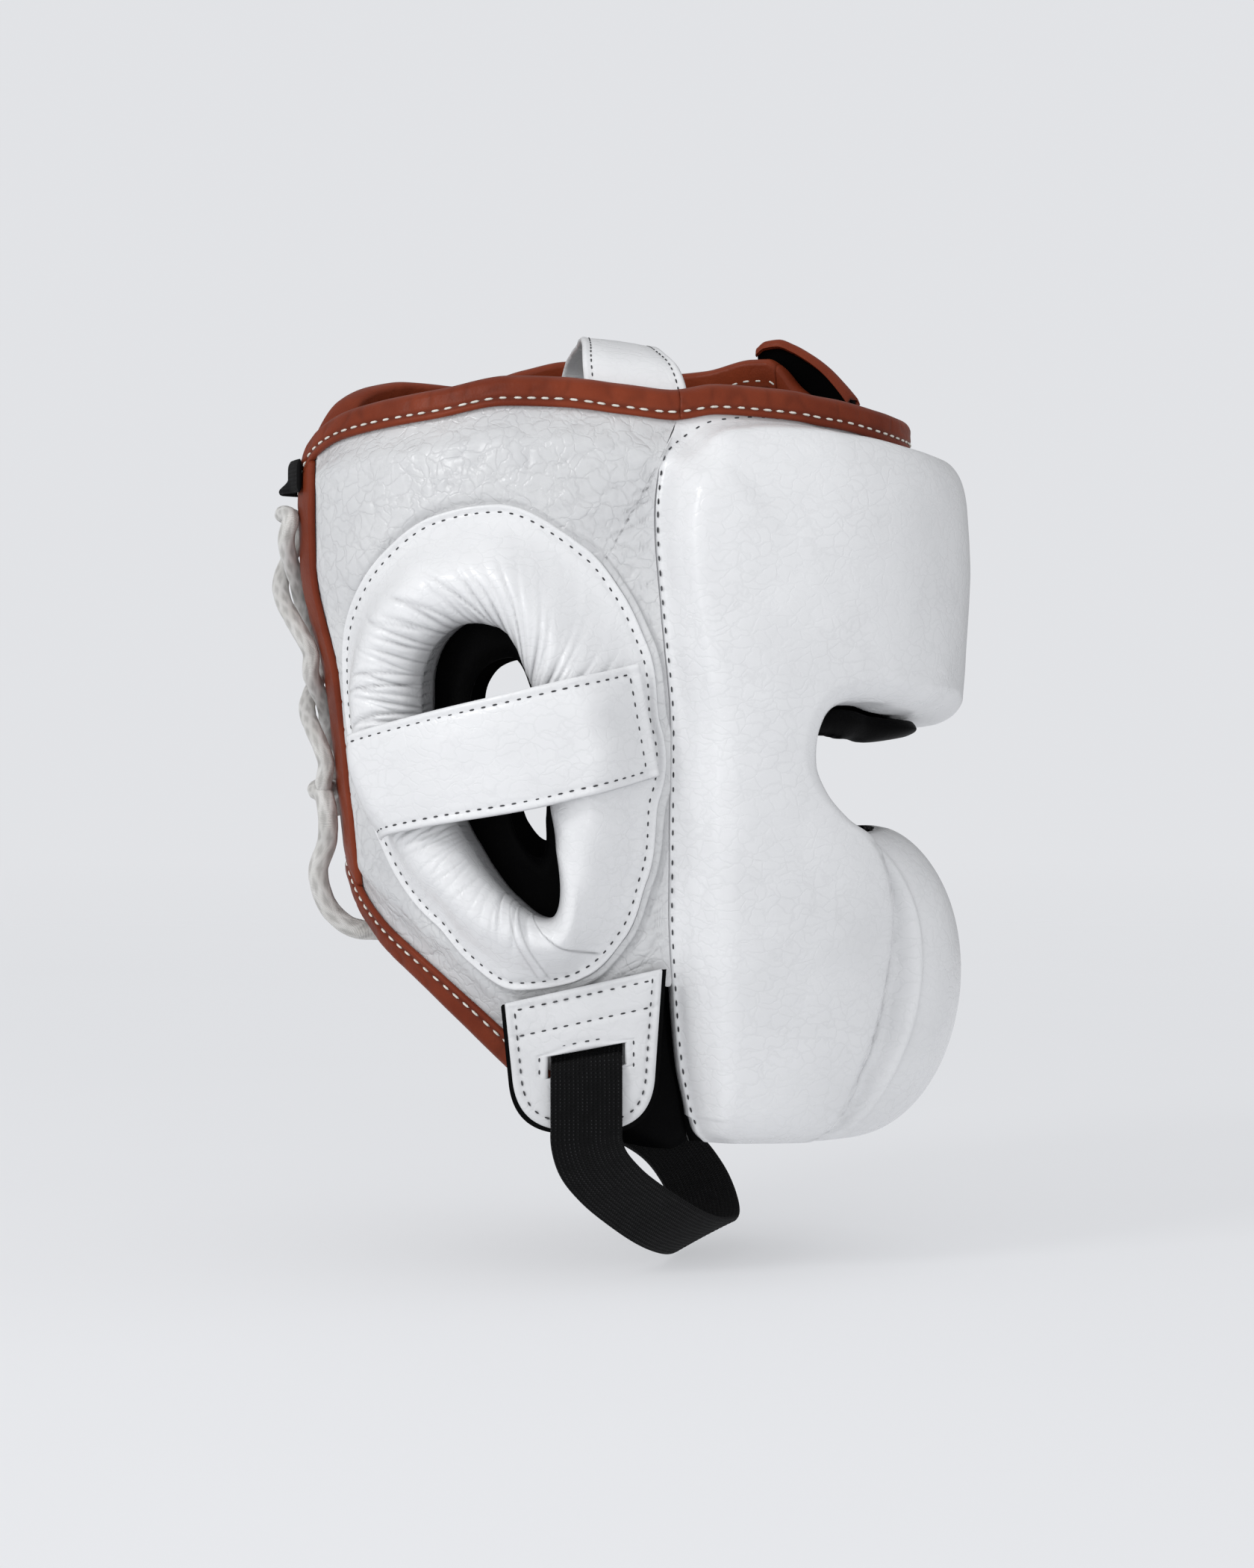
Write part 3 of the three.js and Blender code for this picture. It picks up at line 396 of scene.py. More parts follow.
# Top back corner of the front pad, where its outer edge turns from the seam to the rim
CORNER_ROW = 14
CORNER_ANGLE = 74
CORNER_SHARE = 0.6
CORNER_ROUND = 12
CORNER_FIRST = 12.3
CORNER_LAST = 16.4
CORNER_EASE = 0.8
RIM_ROWS_BEFORE = 69
RIM_ROWS_OVER = -60
SEAM_ROWS_OVER = -274


def pad_row(count):
    """Section of the front pad at a count between its rows; its outer edge keeps to the seam and the rim.

    Between the last seam row and the first rim row the edge climbs the seam to its corner,
    then follows the rim.
    """
    row = {key: column(PAD_ROWS, "count", key, count) for key in FRONT_PAD}
    side = np.sign(row["a_out"])
    on_rim = (np.abs(row["a_out"]) < RIM_ROWS_BEFORE) & (row["z_out"] > RIM_ROWS_OVER)
    on_seam = ~on_rim & (row["z_out"] > SEAM_ROWS_OVER)
    turn = np.minimum(count, LAST_ROW - count) - CORNER_ROW
    turning = (turn > 0) & (turn < 1)
    corner_z = rim_edge(side, CORNER_ANGLE)
    last_seam_z = FRONT_PAD["z_out"][CORNER_ROW]
    first_rim_angle = FRONT_PAD["a_out"][CORNER_ROW + 1]
    gap = SEWN_GAP * (1 - 0.95 * smooth((turn + 0.9) / 0.6))
    corner_angle = seam_angle(corner_z) - gap
    climb = lerp(last_seam_z, corner_z, np.clip(turn / CORNER_SHARE, 0, 1))
    past_corner = np.clip((turn - CORNER_SHARE) / (1 - CORNER_SHARE), 0, 1)
    over = lerp(corner_angle, first_rim_angle, past_corner)
    first_part = turning & (turn < CORNER_SHARE)
    z_seam = np.where(first_part, climb, row["z_out"])
    a_seam = seam_angle(z_seam) - gap
    a_rim = np.where(turning & ~first_part, over, np.abs(row["a_out"]))
    to_seam = np.where(turning, first_part, on_seam)
    to_rim = np.where(turning, ~first_part, on_rim)
    row["a_out"] = side * np.where(to_seam, a_seam, np.where(to_rim, a_rim, np.abs(row["a_out"])))
    row["z_out"] = np.where(to_rim, rim_edge(side, a_rim), z_seam)
    across = (row["a_in"] - row["a_out"]) * FRONT_MM_PER_DEGREE
    row["width"] = np.hypot(across, row["z_in"] - row["z_out"])
    return row


def pad_place(row, inset, out):
    """Point on a front section, a distance in from its outer edge."""
    share = inset / row["width"][:, None]
    a_out, a_in, z_out, z_in = (row[key][:, None] for key in ("a_out", "a_in", "z_out", "z_in"))
    return on_head(lerp(a_out, a_in, share), lerp(z_out, z_in, share), out)


def through(points, cuts):
    """Smooth closed run through control points, with so many parts in each span.

    Cubic between neighbours by chord; each slope is the harmonic mean of both sides, or zero at a turn.
    """
    after = np.roll(points, -1, axis=-2)
    chord = np.maximum(np.linalg.norm(after - points, axis=-1, keepdims=True), 1e-6)
    slope = (after - points) / chord
    before = np.roll(slope, 1, axis=-2)
    same = before * slope > 0
    tangent = np.where(same, 2 * before * slope / np.where(same, before + slope, 1), 0)
    arriving = np.roll(tangent, -1, axis=-2)
    runs = []
    for k, cut in enumerate(cuts):
        u = (np.arange(cut) / cut)[:, None]
        span = (v[..., k:k + 1, :] for v in (points, after, chord, tangent, arriving))
        start, end, length, leave, arrive = span
        runs.append(hermite(u, start, end, length * leave, length * arrive))
    return np.concatenate(runs, axis=-2)


def control(*pairs):
    """Control points of a profile from pairs of arrays, one row of pairs per section."""
    flat = [np.broadcast_arrays(np.asarray(a, float), np.asarray(b, float)) for a, b in pairs]
    shape = np.broadcast_shapes(*(a.shape for a, _ in flat))
    whole = [[np.broadcast_to(value, shape) for value in pair] for pair in flat]
    return np.stack([np.stack(pair, -1) for pair in whole], -2)


def curve(points, parts):
    """Centripetal Catmull-Rom curve through points, with so many parts between neighbours."""
    padded = np.concatenate([2 * points[:1] - points[1:2], points, 2 * points[-1:] - points[-2:-1]])
    a, b, c, d = padded[:-3], padded[1:-2], padded[2:-1], padded[3:]
    t0, t1, t2 = (np.sqrt(np.linalg.norm(q - p, axis=1))[:, None] for p, q in ((a, b), (b, c), (c, d)))
    leave = ((b - a) / t0 - (c - a) / (t0 + t1) + (c - b) / t1) * t1
    arrive = ((c - b) / t1 - (d - b) / (t1 + t2) + (d - c) / t2) * t1
    u = (np.arange(parts) / parts)[None, :, None]
    run = hermite(u, b[:, None], c[:, None], leave[:, None], arrive[:, None]).reshape(-1, 3)
    return np.concatenate([run, points[-1:]])


def unit(v):
    """Vectors scaled to length 1."""
    return v / np.maximum(np.linalg.norm(v, axis=-1, keepdims=True), 1e-9)


def length_along(points):
    """Distance along a run of points."""
    return np.concatenate([[0], np.cumsum(np.linalg.norm(np.diff(points, axis=0), axis=1))])


# Meshes

def put(name, verts, faces, material, replaces=(), marks=None, uv=None):
    """Object on the root body from points in millimetres and faces: smooth, with marks as attributes."""
    mesh = bpy.data.meshes.new(name)
    mesh.from_pydata((verts * MM).tolist(), [], faces)
    mesh.polygons.foreach_set("use_smooth", np.ones(len(mesh.polygons), bool))
    for key, values in (marks or {}).items():
        mark = mesh.attributes.new(key, "FLOAT", "POINT")
        mark.data.foreach_set("value", values.ravel().astype(np.float32))
    if uv is not None:
        layer = mesh.uv_layers.new(name="along")
        corners = np.zeros((len(mesh.loops), 2), np.float32)
        corners[:len(uv)] = uv
        layer.data.foreach_set("uv", corners.ravel())
    mesh.update()
    obj = bpy.data.objects.new(name, mesh)
    scene.collection.objects.link(obj)
    mesh.materials.append(material)
    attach(obj, "root")
    if replaces:
        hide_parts(*replaces)
    return obj


def skin(name, points, material, looped=False, replaces=(), marks=None, uv=None):
    """Closed mesh from rings of points, with its faces out: the rings loop round, or both ends are capped.

    uv gives distances along the rings and round them, one more than the points where a way is closed.
    """
    n, m = points.shape[:2]
    i = np.arange(n if looped else n - 1)[:, None]
    j = np.arange(m)[None, :]
    after, beside = (i + 1) % n, (j + 1) % m
    quads = np.stack(np.broadcast_arrays(i * m + j, i * m + beside, after * m + beside, after * m + j), -1)
    quads = quads.reshape(-1, 4)
    verts = points.reshape(-1, 3)
    a, b, c, d = (verts[quads[:, k]] - verts[0] for k in range(4))
    volume = np.sum(np.cross(b - a, c - a) * a) + np.sum(np.cross(c - a, d - a) * a)
    corners = None
    if uv is not None:
        along, around = np.asarray(uv[0], float), np.asarray(uv[1], float)
        us = np.stack(np.broadcast_arrays(along[i], along[i], along[i + 1], along[i + 1]), -1)
        us = np.broadcast_to(us, (len(i), m, 4))
        vs = np.stack([around[j], around[j + 1], around[j + 1], around[j]], -1)
        vs = np.broadcast_to(vs, (len(i), m, 4))
        corners = np.stack([us, vs], -1).reshape(-1, 4, 2)
    caps = [] if looped else [np.arange(m)[::-1].tolist(), ((n - 1) * m + np.arange(m)).tolist()]
    if volume < 0:
        quads = quads[:, ::-1]
        caps = [cap[::-1] for cap in caps]
        corners = None if corners is None else corners[:, ::-1]
    corners = None if corners is None else corners.reshape(-1, 2)
    return put(name, verts, quads.tolist() + caps, material, replaces, marks, corners)


STITCH_RINGS = 3
STITCH_SIDES = 6


def stitch_rows(name, rows, material):
    """Rows of sewn stitches: each is a small pointed grain along its row whose ends dip into the leather.

    A row is its points and the way out at each point.
    """
    pitch, length, width, tall, seed = STITCHES[name]
    draw = np.random.default_rng(seed)
    x = np.linspace(-1, 1, STITCH_RINGS + 2)[1:-1]
    turn = np.arange(STITCH_SIDES) * 2 * np.pi / STITCH_SIDES
    girth = (1 - x ** 4) ** 0.5
    body = np.stack([
        np.repeat(x, STITCH_SIDES),
        np.outer(girth, np.cos(turn)).ravel(),
        np.outer(girth, np.sin(turn)).ravel(),
    ], -1)
    grain = np.concatenate([[[-1, 0, 0]], body, [[1, 0, 0]]])
    k = np.arange(STITCH_SIDES)
    beside = (k + 1) % STITCH_SIDES
    last = 1 + (STITCH_RINGS - 1) * STITCH_SIDES
    faces = [[0, 1 + b, 1 + a] for a, b in zip(k, beside)]
    for ring in range(STITCH_RINGS - 1):
        base = 1 + ring * STITCH_SIDES
        above = base + STITCH_SIDES
        faces += [[base + a, base + b, above + b, above + a] for a, b in zip(k, beside)]
    faces += [[last + a, last + b, len(grain) - 1] for a, b in zip(k, beside)]
    verts, every = [], []
    total = 0
    for points, outward in rows:
        reach = length_along(points)
        count = max(2, int(reach[-1] / pitch))
        at = (np.arange(count) + 0.5 + draw.uniform(-0.07, 0.07, count)) * reach[-1] / count
        place = np.stack([np.interp(at, reach, points[:, k]) for k in range(3)], -1)
        ahead = np.stack([np.interp(at + 0.8, reach, points[:, k]) for k in range(3)], -1)
        behind = np.stack([np.interp(at - 0.8, reach, points[:, k]) for k in range(3)], -1)
        way = unit(ahead - behind)
        out = unit(np.stack([np.interp(at, reach, outward[:, k]) for k in range(3)], -1))
        across = unit(np.cross(out, way) + way * draw.uniform(-0.08, 0.08, (count, 1)))
        out = np.cross(way, across)
        size = draw.uniform(0.88, 1.1, (count, 1, 1)) * length / 2
        rise = grain[:, 2] * tall / 2 - 0.35 * tall * grain[:, 0] ** 2
        verts.append((
            place[:, None] + grain[None, :, :1] * size * way[:, None]
            + grain[None, :, 1:2] * width / 2 * across[:, None] + rise[None, :, None] * out[:, None]
        ).reshape(-1, 3))
        for number in range(count):
            every += [[total + number * len(grain) + corner for corner in face] for face in faces]
        total += count * len(grain)
    return put(name, np.concatenate(verts), every, material)


# Materials

def finish(name):
    """New node material: its tree, its shader, and a helper that adds a node and sets its inputs."""
    made = bpy.data.materials.new(name)
    made.use_nodes = True
    tree = made.node_tree
    shader = tree.nodes["Principled BSDF"]

    def add(kind, links=None, **values):
        node = tree.nodes.new("ShaderNode" + kind)
        for key, value in values.items():
            if key in node.inputs.keys():
                node.inputs[key].default_value = value
            elif key.replace("_", " ") in node.inputs.keys():
                node.inputs[key.replace("_", " ")].default_value = value
            else:
                setattr(node, key, value)
        for key, source in (links or {}).items():
            tree.links.new(source, node.inputs[key])
        return node

    return made, tree, shader, add


def spread(add, source, low, high, to_low=0.0, to_high=1.0):
    """Map Range node from low..high to to_low..to_high."""
    values = {"From Min": low, "From Max": high, "To Min": to_low, "To Max": to_high}
    node = add("MapRange", {"Value": source})
    for key, value in values.items():
        node.inputs[key].default_value = value
    return node.outputs["Result"]


def blend(add, share, first, second):
    """Mix of two colours by share."""
    node = add("Mix", data_type="RGBA")
    for socket, value in ((node.inputs[6], first), (node.inputs[7], second)):
        if isinstance(value, tuple):
            socket.default_value = value
        else:
            node.id_data.links.new(value, socket)
    node.id_data.links.new(share, node.inputs[0])
    return node.outputs[2]


# Distance between the pores of leather, in metres
PORE = 0.0009


def leather(name, light, dark, valley, roughness, grain, crinkle, fold=0.006, gleam=0.45, stretch=1.0,
            net=0.0, cell=0.007, line=0.0):
    """Leather: colour drifts between two tones and is darkened with painted shade in marked valleys; pores
    and soft folds in bump.

    grain and crinkle are the depths of pores and folds in metres, fold the distance between folds,
    stretch how much closer the folds lie one over the other than side by side, net the depth of fine lines
    round cells of the given size, line how far these lines are painted towards the valley tone as shade.
    """
    made, tree, shader, add = finish(name)
    place = add("TexCoord").outputs["Object"]
    drift = add("TexNoise", {"Vector": place}, Scale=26.0, Detail=5.0, Roughness=0.6).outputs["Fac"]
    pulled = add("Mapping", {"Vector": place}, Scale=(1, 1, stretch)).outputs["Vector"]
    folds = add("TexNoise", {"Vector": pulled}, noise_type="RIDGED_MULTIFRACTAL", Scale=0.5 / fold,
                Detail=1.5, Roughness=0.5, Distortion=0.6, Offset=0.9, Gain=1.6).outputs["Fac"]
    soft_line = spread(add, folds, 0.1, 1.6, 1.0, 0.0)
    pores = add("TexVoronoi", {"Vector": place}, Scale=1 / PORE).outputs["Distance"]
    fine = add("TexNoise", {"Vector": place}, Scale=900.0, Detail=3.0).outputs["Fac"]
    pitted = add("Math", {0: pores, 1: fine}, operation="ADD").outputs["Value"]
    first = add("Bump", {"Height": pitted}, Strength=1.0, Distance=grain)
    second = add("Bump", {"Height": soft_line, "Normal": first.outputs["Normal"]}, Strength=1.0,
                 Distance=crinkle)
    bent = add("TexNoise", {"Vector": place}, Scale=110.0, Detail=3.0).outputs["Color"]
    warped = add("VectorMath", {0: bent, 2: pulled}, operation="MULTIPLY_ADD")
    warped.inputs[1].default_value = (2.2 * cell, 2.2 * cell, 2.2 * cell)
    cells = add("TexVoronoi", {"Vector": warped.outputs["Vector"]}, feature="DISTANCE_TO_EDGE",
                Scale=1 / cell)
    between = spread(add, cells.outputs["Distance"], 0.0, 0.12)
    third = add("Bump", {"Height": between, "Normal": second.outputs["Normal"]}, Strength=1.0, Distance=net)
    tree.links.new(third.outputs["Normal"], shader.inputs["Normal"])
    # Painted shade: the tone darkens to the valley colour where the mesh marks creases and recesses
    shade_mark = add("Attribute", attribute_name="valley").outputs["Fac"]
    tone = blend(add, spread(add, drift, 0.35, 0.68), light, dark)
    # Painted shade along the fine crease lines round the cells, shown in patches
    patch = add("TexNoise", {"Vector": place}, Scale=38.0, Detail=2.0).outputs["Fac"]
    shown = spread(add, patch, 0.4, 0.62, 0.15, 1.0)
    lined = spread(add, cells.outputs["Distance"], 0.0, 0.1, line, 0.0)
    lined = add("Math", {0: lined, 1: shown}, operation="MULTIPLY").outputs["Value"]
    tone = blend(add, lined, tone, valley)
    tone = blend(add, shade_mark, tone, valley)
    tree.links.new(tone, shader.inputs["Base Color"])
    gloss = spread(add, drift, 0.3, 0.7, roughness - 0.05, roughness + 0.06)
    tree.links.new(gloss, shader.inputs["Roughness"])
    shader.inputs["Specular IOR Level"].default_value = gleam
    return made


def thread(name, light, dark):
    """Sewing thread: tone drifts along it, with a fine twist in bump."""
    made, tree, shader, add = finish(name)
    place = add("TexCoord").outputs["Object"]
    drift = add("TexNoise", {"Vector": place}, Scale=420.0, Detail=2.0).outputs["Fac"]
    twist = add("TexWave", {"Vector": place}, Scale=700.0, Distortion=3.0).outputs["Fac"]
    tree.links.new(blend(add, spread(add, drift, 0.35, 0.65), light, dark), shader.inputs["Base Color"])
    dent = add("Bump", {"Height": twist}, Strength=0.6, Distance=0.0001)
    tree.links.new(dent.outputs["Normal"], shader.inputs["Normal"])
    shader.inputs["Roughness"].default_value = 0.7
    return made


def elastic_weave(name):
    """Ribbed elastic on its own uv in millimetres: ribs along it, a cross weave, and grey flecks."""
    made, tree, shader, add = finish(name)
    spot = add("UVMap", uv_map="along").outputs["UV"]
    axes = add("SeparateXYZ", {"Vector": spot})
    along, across = axes.outputs["X"], axes.outputs["Y"]

    def ridge(source, pitch):
        turns = add("Math", {0: source}, operation="MULTIPLY")
        turns.inputs[1].default_value = 2 * math.pi / pitch
        return add("Math", {0: turns.outputs[0]}, operation="SINE").outputs[0]

    rib, cross = ridge(across, RIB_PITCH), ridge(along, CROSS_PITCH)
    lift = add("Math", {0: rib, 1: cross}, operation="MULTIPLY").outputs[0]
    height = add("Math", {0: rib, 1: lift}, operation="ADD").outputs[0]
    dent = add("Bump", {"Height": height}, Strength=1.0, Distance=0.00022)
    tree.links.new(dent.outputs["Normal"], shader.inputs["Normal"])
    ribs, weave = spread(add, rib, 0.35, 0.95), spread(add, cross, 0.2, 0.9)
    fleck = add("Math", {0: ribs, 1: weave}, operation="MULTIPLY").outputs[0]
    patch = add("TexNoise", {"Vector": spot}, Scale=0.22, Detail=3.0).outputs["Fac"]
    shown = add("Math", {0: fleck, 1: spread(add, patch, 0.36, 0.62)}, operation="MULTIPLY").outputs[0]
    tone = blend(add, shown, (0.0025, 0.0025, 0.0028, 1), (0.032, 0.032, 0.034, 1))
    tree.links.new(tone, shader.inputs["Base Color"])
    shader.inputs["Roughness"].default_value = 0.8
    shader.inputs["Specular IOR Level"].default_value = 0.12
    shader.inputs["Sheen Weight"].default_value = 0.012
    return made


def lace_braid(name):
    """Braided lace on its own uv in millimetres: thread lines in bump, painted shade as a darker tone in the
    marked dips.
    """
    made, tree, shader, add = finish(name)
    spot = add("UVMap", uv_map="along").outputs["UV"]
    lines = add("TexWave", {"Vector": spot}, Scale=0.9, Distortion=1.5, Detail=1.0).outputs["Fac"]
    drift = add("TexNoise", {"Vector": spot}, Scale=0.12, Detail=3.0).outputs["Fac"]
    # Painted shade: darker in the dips between the braid's strands
    dip = add("Attribute", attribute_name="valley").outputs["Fac"]
    tone = blend(add, spread(add, drift, 0.35, 0.65), (0.76, 0.75, 0.73, 1), (0.66, 0.65, 0.62, 1))
    tone = blend(add, dip, tone, (0.42, 0.41, 0.39, 1))
    tree.links.new(tone, shader.inputs["Base Color"])
    dent = add("Bump", {"Height": lines}, Strength=0.7, Distance=0.00025)
    tree.links.new(dent.outputs["Normal"], shader.inputs["Normal"])
    shader.inputs["Roughness"].default_value = 0.85
    shader.inputs["Sheen Weight"].default_value = 0.3
    return made


SMOOTH_WHITE = leather("smooth_white_leather", (0.80, 0.805, 0.815, 1), (0.74, 0.745, 0.755, 1),
                       (0.30, 0.30, 0.31, 1), 0.27, 0.000004, 0.00014, fold=0.010, stretch=1.6,
                       net=0.00006, cell=0.0065, line=0.08)
# Darker than the smooth white: partly a greyer leather, partly painted shade of its fine crinkles
CRINKLED_WHITE = leather("crinkled_white_leather", (0.65, 0.655, 0.66, 1), (0.58, 0.585, 0.595, 1),
                         (0.33, 0.33, 0.34, 1), 0.29, 0.000005, 0.00056, fold=0.0058,
                         net=0.00013, cell=0.0055, line=0.17)
# Darker copy of the white leather for the chin tabs: partly a greyer leather, partly painted shade
TAB_WHITE = leather("tab_white_leather", (0.69, 0.695, 0.705, 1), (0.64, 0.645, 0.655, 1),
                    (0.30, 0.30, 0.31, 1), 0.30, 0.000005, 0.00018, fold=0.007, net=0.00006, line=0.07)
BROWN = leather("brown_binding_leather", (0.21, 0.038, 0.014, 1), (0.13, 0.020, 0.007, 1),
                (0.05, 0.009, 0.004, 1), 0.42, 0.00005, 0.00014, fold=0.004, gleam=0.13)
BLACK = leather("black_lining_leather", (0.0024, 0.0024, 0.0026, 1), (0.0012, 0.0012, 0.0013, 1),
                (0.0008, 0.0008, 0.0008, 1), 0.45, 0.00004, 0.00008, gleam=0.03)
WHITE_THREAD = thread("white_thread", (0.78, 0.76, 0.70, 1), (0.62, 0.60, 0.54, 1))
DARK_THREAD = thread("dark_thread", (0.060, 0.062, 0.068, 1), (0.022, 0.022, 0.025, 1))
ELASTIC_WEAVE = elastic_weave("black_ribbed_elastic")
LACE_BRAID = lace_braid("braided_white_lace")


# Front pad

def pad_foot(counts, row):
    """Height of the front pad's outer edge, where its ramp starts, and 1 on the rim rows.

    Round the top back corner the edge is level with the side panel, and the ramp starts on a rounded corner:
    where a section first has hypot(r - from seam, r - from rim) = r, both parts held at zero beyond r.
    """
    near = np.minimum(counts, LAST_ROW - counts)
    side = np.sign(row["a_out"])
    level = panel_height(side, np.abs(row["a_out"]), row["z_out"])
    into_corner = smooth((near - CORNER_FIRST) / CORNER_EASE)
    edge = lerp(row["edge"], level, into_corner)
    steps = np.linspace(0, 30, 601)
    share = steps / row["width"][:, None]
    angle = np.abs(lerp(row["a_out"][:, None], row["a_in"][:, None], share))
    z = lerp(row["z_out"][:, None], row["z_in"][:, None], share)
    from_seam = (seam_angle(z) - angle) * FRONT_MM_PER_DEGREE - 1.3
    strip = 0.2 + 2.6 * smooth((angle - 58) / 14)
    from_rim = rim_edge(side[:, None], angle) - BINDING_LEG - strip - z
    away = np.hypot(np.clip(CORNER_ROUND - from_seam, 0, None), np.clip(CORNER_ROUND - from_rim, 0, None))
    rounded = steps[np.argmax(away <= CORNER_ROUND, axis=1)]
    lip = lerp(row["lip"], rounded, into_corner * smooth((CORNER_LAST - near) / CORNER_EASE))
    return edge, lip, smooth((row["lip"] - 4) / 5.5)


def make_front_pad():
    """Forehead and cheeks: sections of a flat lip, a bevel, a crowned field and a rolled inner edge.

    Small dips follow the seam stitches, low waves lie on the field, and tension wrinkles cross the bar seam.
    """
    counts = np.linspace(0, LAST_ROW, FRONT_PAD_SECTIONS)
    row = pad_row(counts)
    width, ramp, thick, roll = (row[key] for key in ("width", "ramp", "thick", "roll"))
    edge, lip, at_rim = pad_foot(counts, row)
    rise = thick - edge
    closed = smooth((np.minimum(counts, LAST_ROW - counts) - 13.1) / 0.6)
    near = lerp(0.05, -0.15, closed)
    points = control(
        (near, SEAT), (near, edge - lerp(0.8, 0.15, closed)), (near + lerp(0.7, 0.2, closed), edge),
        (np.maximum(lip, 1.2), edge + 0.1),
        (lip + ramp * lerp(0.5, 0.25, at_rim), edge + rise * lerp(0.5, 0.6, at_rim)),
        (lip + ramp * lerp(0.95, 0.75, at_rim), edge + rise * lerp(0.915, 0.8, at_rim)),
        (lip + ramp * lerp(1.3, 1.6, at_rim), edge + rise * lerp(0.985, 0.9, at_rim)),
        (lerp(lip + ramp, width - 12, 0.45), thick), (width - 11, thick * 0.985),
        (width - lerp(3.5, 5, roll), thick * lerp(0.84, 0.88, roll)),
        (width - lerp(near, 1.4, roll), thick * lerp(0.66, 0.64, roll)),
        (width - lerp(near, 0.3, roll), thick * lerp(0.62, 0.3, roll)),
        (width - lerp(near, 1.2, roll), SEAT + 1.5), (width - lerp(near, 3, roll), SEAT),
        (width * 0.68, SEAT), (width * 0.34, SEAT),
    )
    profile = through(points, (2, 2, 3, 6, 7, 7, 10, 18, 12, 6, 4, 3, 2, 2, 2, 2))
    inset, out = profile[..., 0], profile[..., 1]
    share = inset / width[:, None]
    angle = lerp(row["a_out"][:, None], row["a_in"][:, None], share)
    z = lerp(row["z_out"][:, None], row["z_in"][:, None], share)
    across = angle * FRONT_MM_PER_DEGREE
    on_top = smooth((out - SEAT - 3) / 4)
    to_bar = smooth((SEAM_ROWS + 0.6 - np.minimum(counts, LAST_ROW - counts)) / 1.2)[:, None]
    from_bar = width[:, None] - inset
    waves = 0.28 * field(across / 24, z / 24, 3) + 0.10 * field(across / 9, z / 9, 4)
    pull = creases(from_bar / 16 + 40, z / 3.4, 5, 0.22) * hump(from_bar - 2.5, 5) * to_bar
    low_fold = hump(from_bar - 7.5, 2.4) * to_bar * 0.5
    at_seam = hump(inset - 1.6, 1.2) * smooth((-30 - z) / 8) * 0.35
    relief = on_top * (waves - 0.9 * pull - low_fold - at_seam)
    # Painted shade: darker in the tension wrinkles and along the crease at the bar seam
    valley = np.clip(on_top * (0.5 * pull + 0.25 * hump(from_bar - 0.2, 0.9) * to_bar), 0, 1)
    points = pad_place(row, inset, out + relief)
    obj = skin("front_pad_soft", points, SMOOTH_WHITE, replaces=["front_pad"],
               marks={"valley": valley})


def make_front_lining():
    """Lining behind the front pad, with the rolled black brow that shows under the white edge."""
    counts = np.linspace(0, LAST_ROW, FRONT_LINING_SECTIONS)
    row = pad_row(counts)
    width, lens, thick, roll = (row[key] for key in ("width", "lens", "thick", "roll"))
    shown = smooth(lens / 9)
    near = np.minimum(counts, LAST_ROW - counts)
    to_middle = smooth((near - 16.4) / 2.4)
    tall = thick * lerp(0.26, 0.68, to_middle)
    start = -np.interp(near, [0, 1, 2, 3], [5.5, 2.3, 0.7, 0])
    tip = width + lerp(-1, 0, roll)
    points = control(
        (start, LINING), (start, 0), (12, 0), (width * 0.68, 0), (tip + 0.3 + lens, 0.1),
        (tip + 0.55 + lens, lerp(0.6, tall * 0.3, shown)),
        (tip + 0.45 + lens * 0.9, lerp(1.1, tall * 0.7, shown)),
        (tip + 0.35 + lens * 0.5, lerp(1.5, tall, shown)),
        (tip + 0.25 + lens * 0.12, lerp(1.8, tall * 0.86, shown)),
        (tip + 0.15, LINING), (width * 0.68, LINING), (width * 0.34, LINING),
    )
    profile = through(points, (2, 3, 5, 5, 3, 5, 6, 6, 4, 3, 2, 2))
    inset, out = profile[..., 0], profile[..., 1]
    inner = smooth((0.8 - out) / 0.8)
    out = out + inner * 0.25 * field(inset / 11, row["z_in"][:, None] / 11, 6)
    skin("lining_front_soft", pad_place(row, inset, out), BLACK, replaces=["lining_front"])


# Face bar

def bar_grid(shares, counts, crown):
    """Points of the bar: share across it from seam to seam, level with the front pad's rows at counts."""
    levels = pad_row(counts)
    v = (levels["z_in"] - levels["z_in"][0]) / (levels["z_in"][-1] - levels["z_in"][0])
    to_end = smooth((np.abs(shares) - 0.3) / 0.7)[:, None]
    z = lerp(lerp(BAR["bottom"], BAR["top"], v)[None], levels["z_in"][None], to_end)
    angle = (np.abs(levels["a_in"]) - 0.03)[None] * shares[:, None]
    return on_head(angle, z, crown(v[None], z))


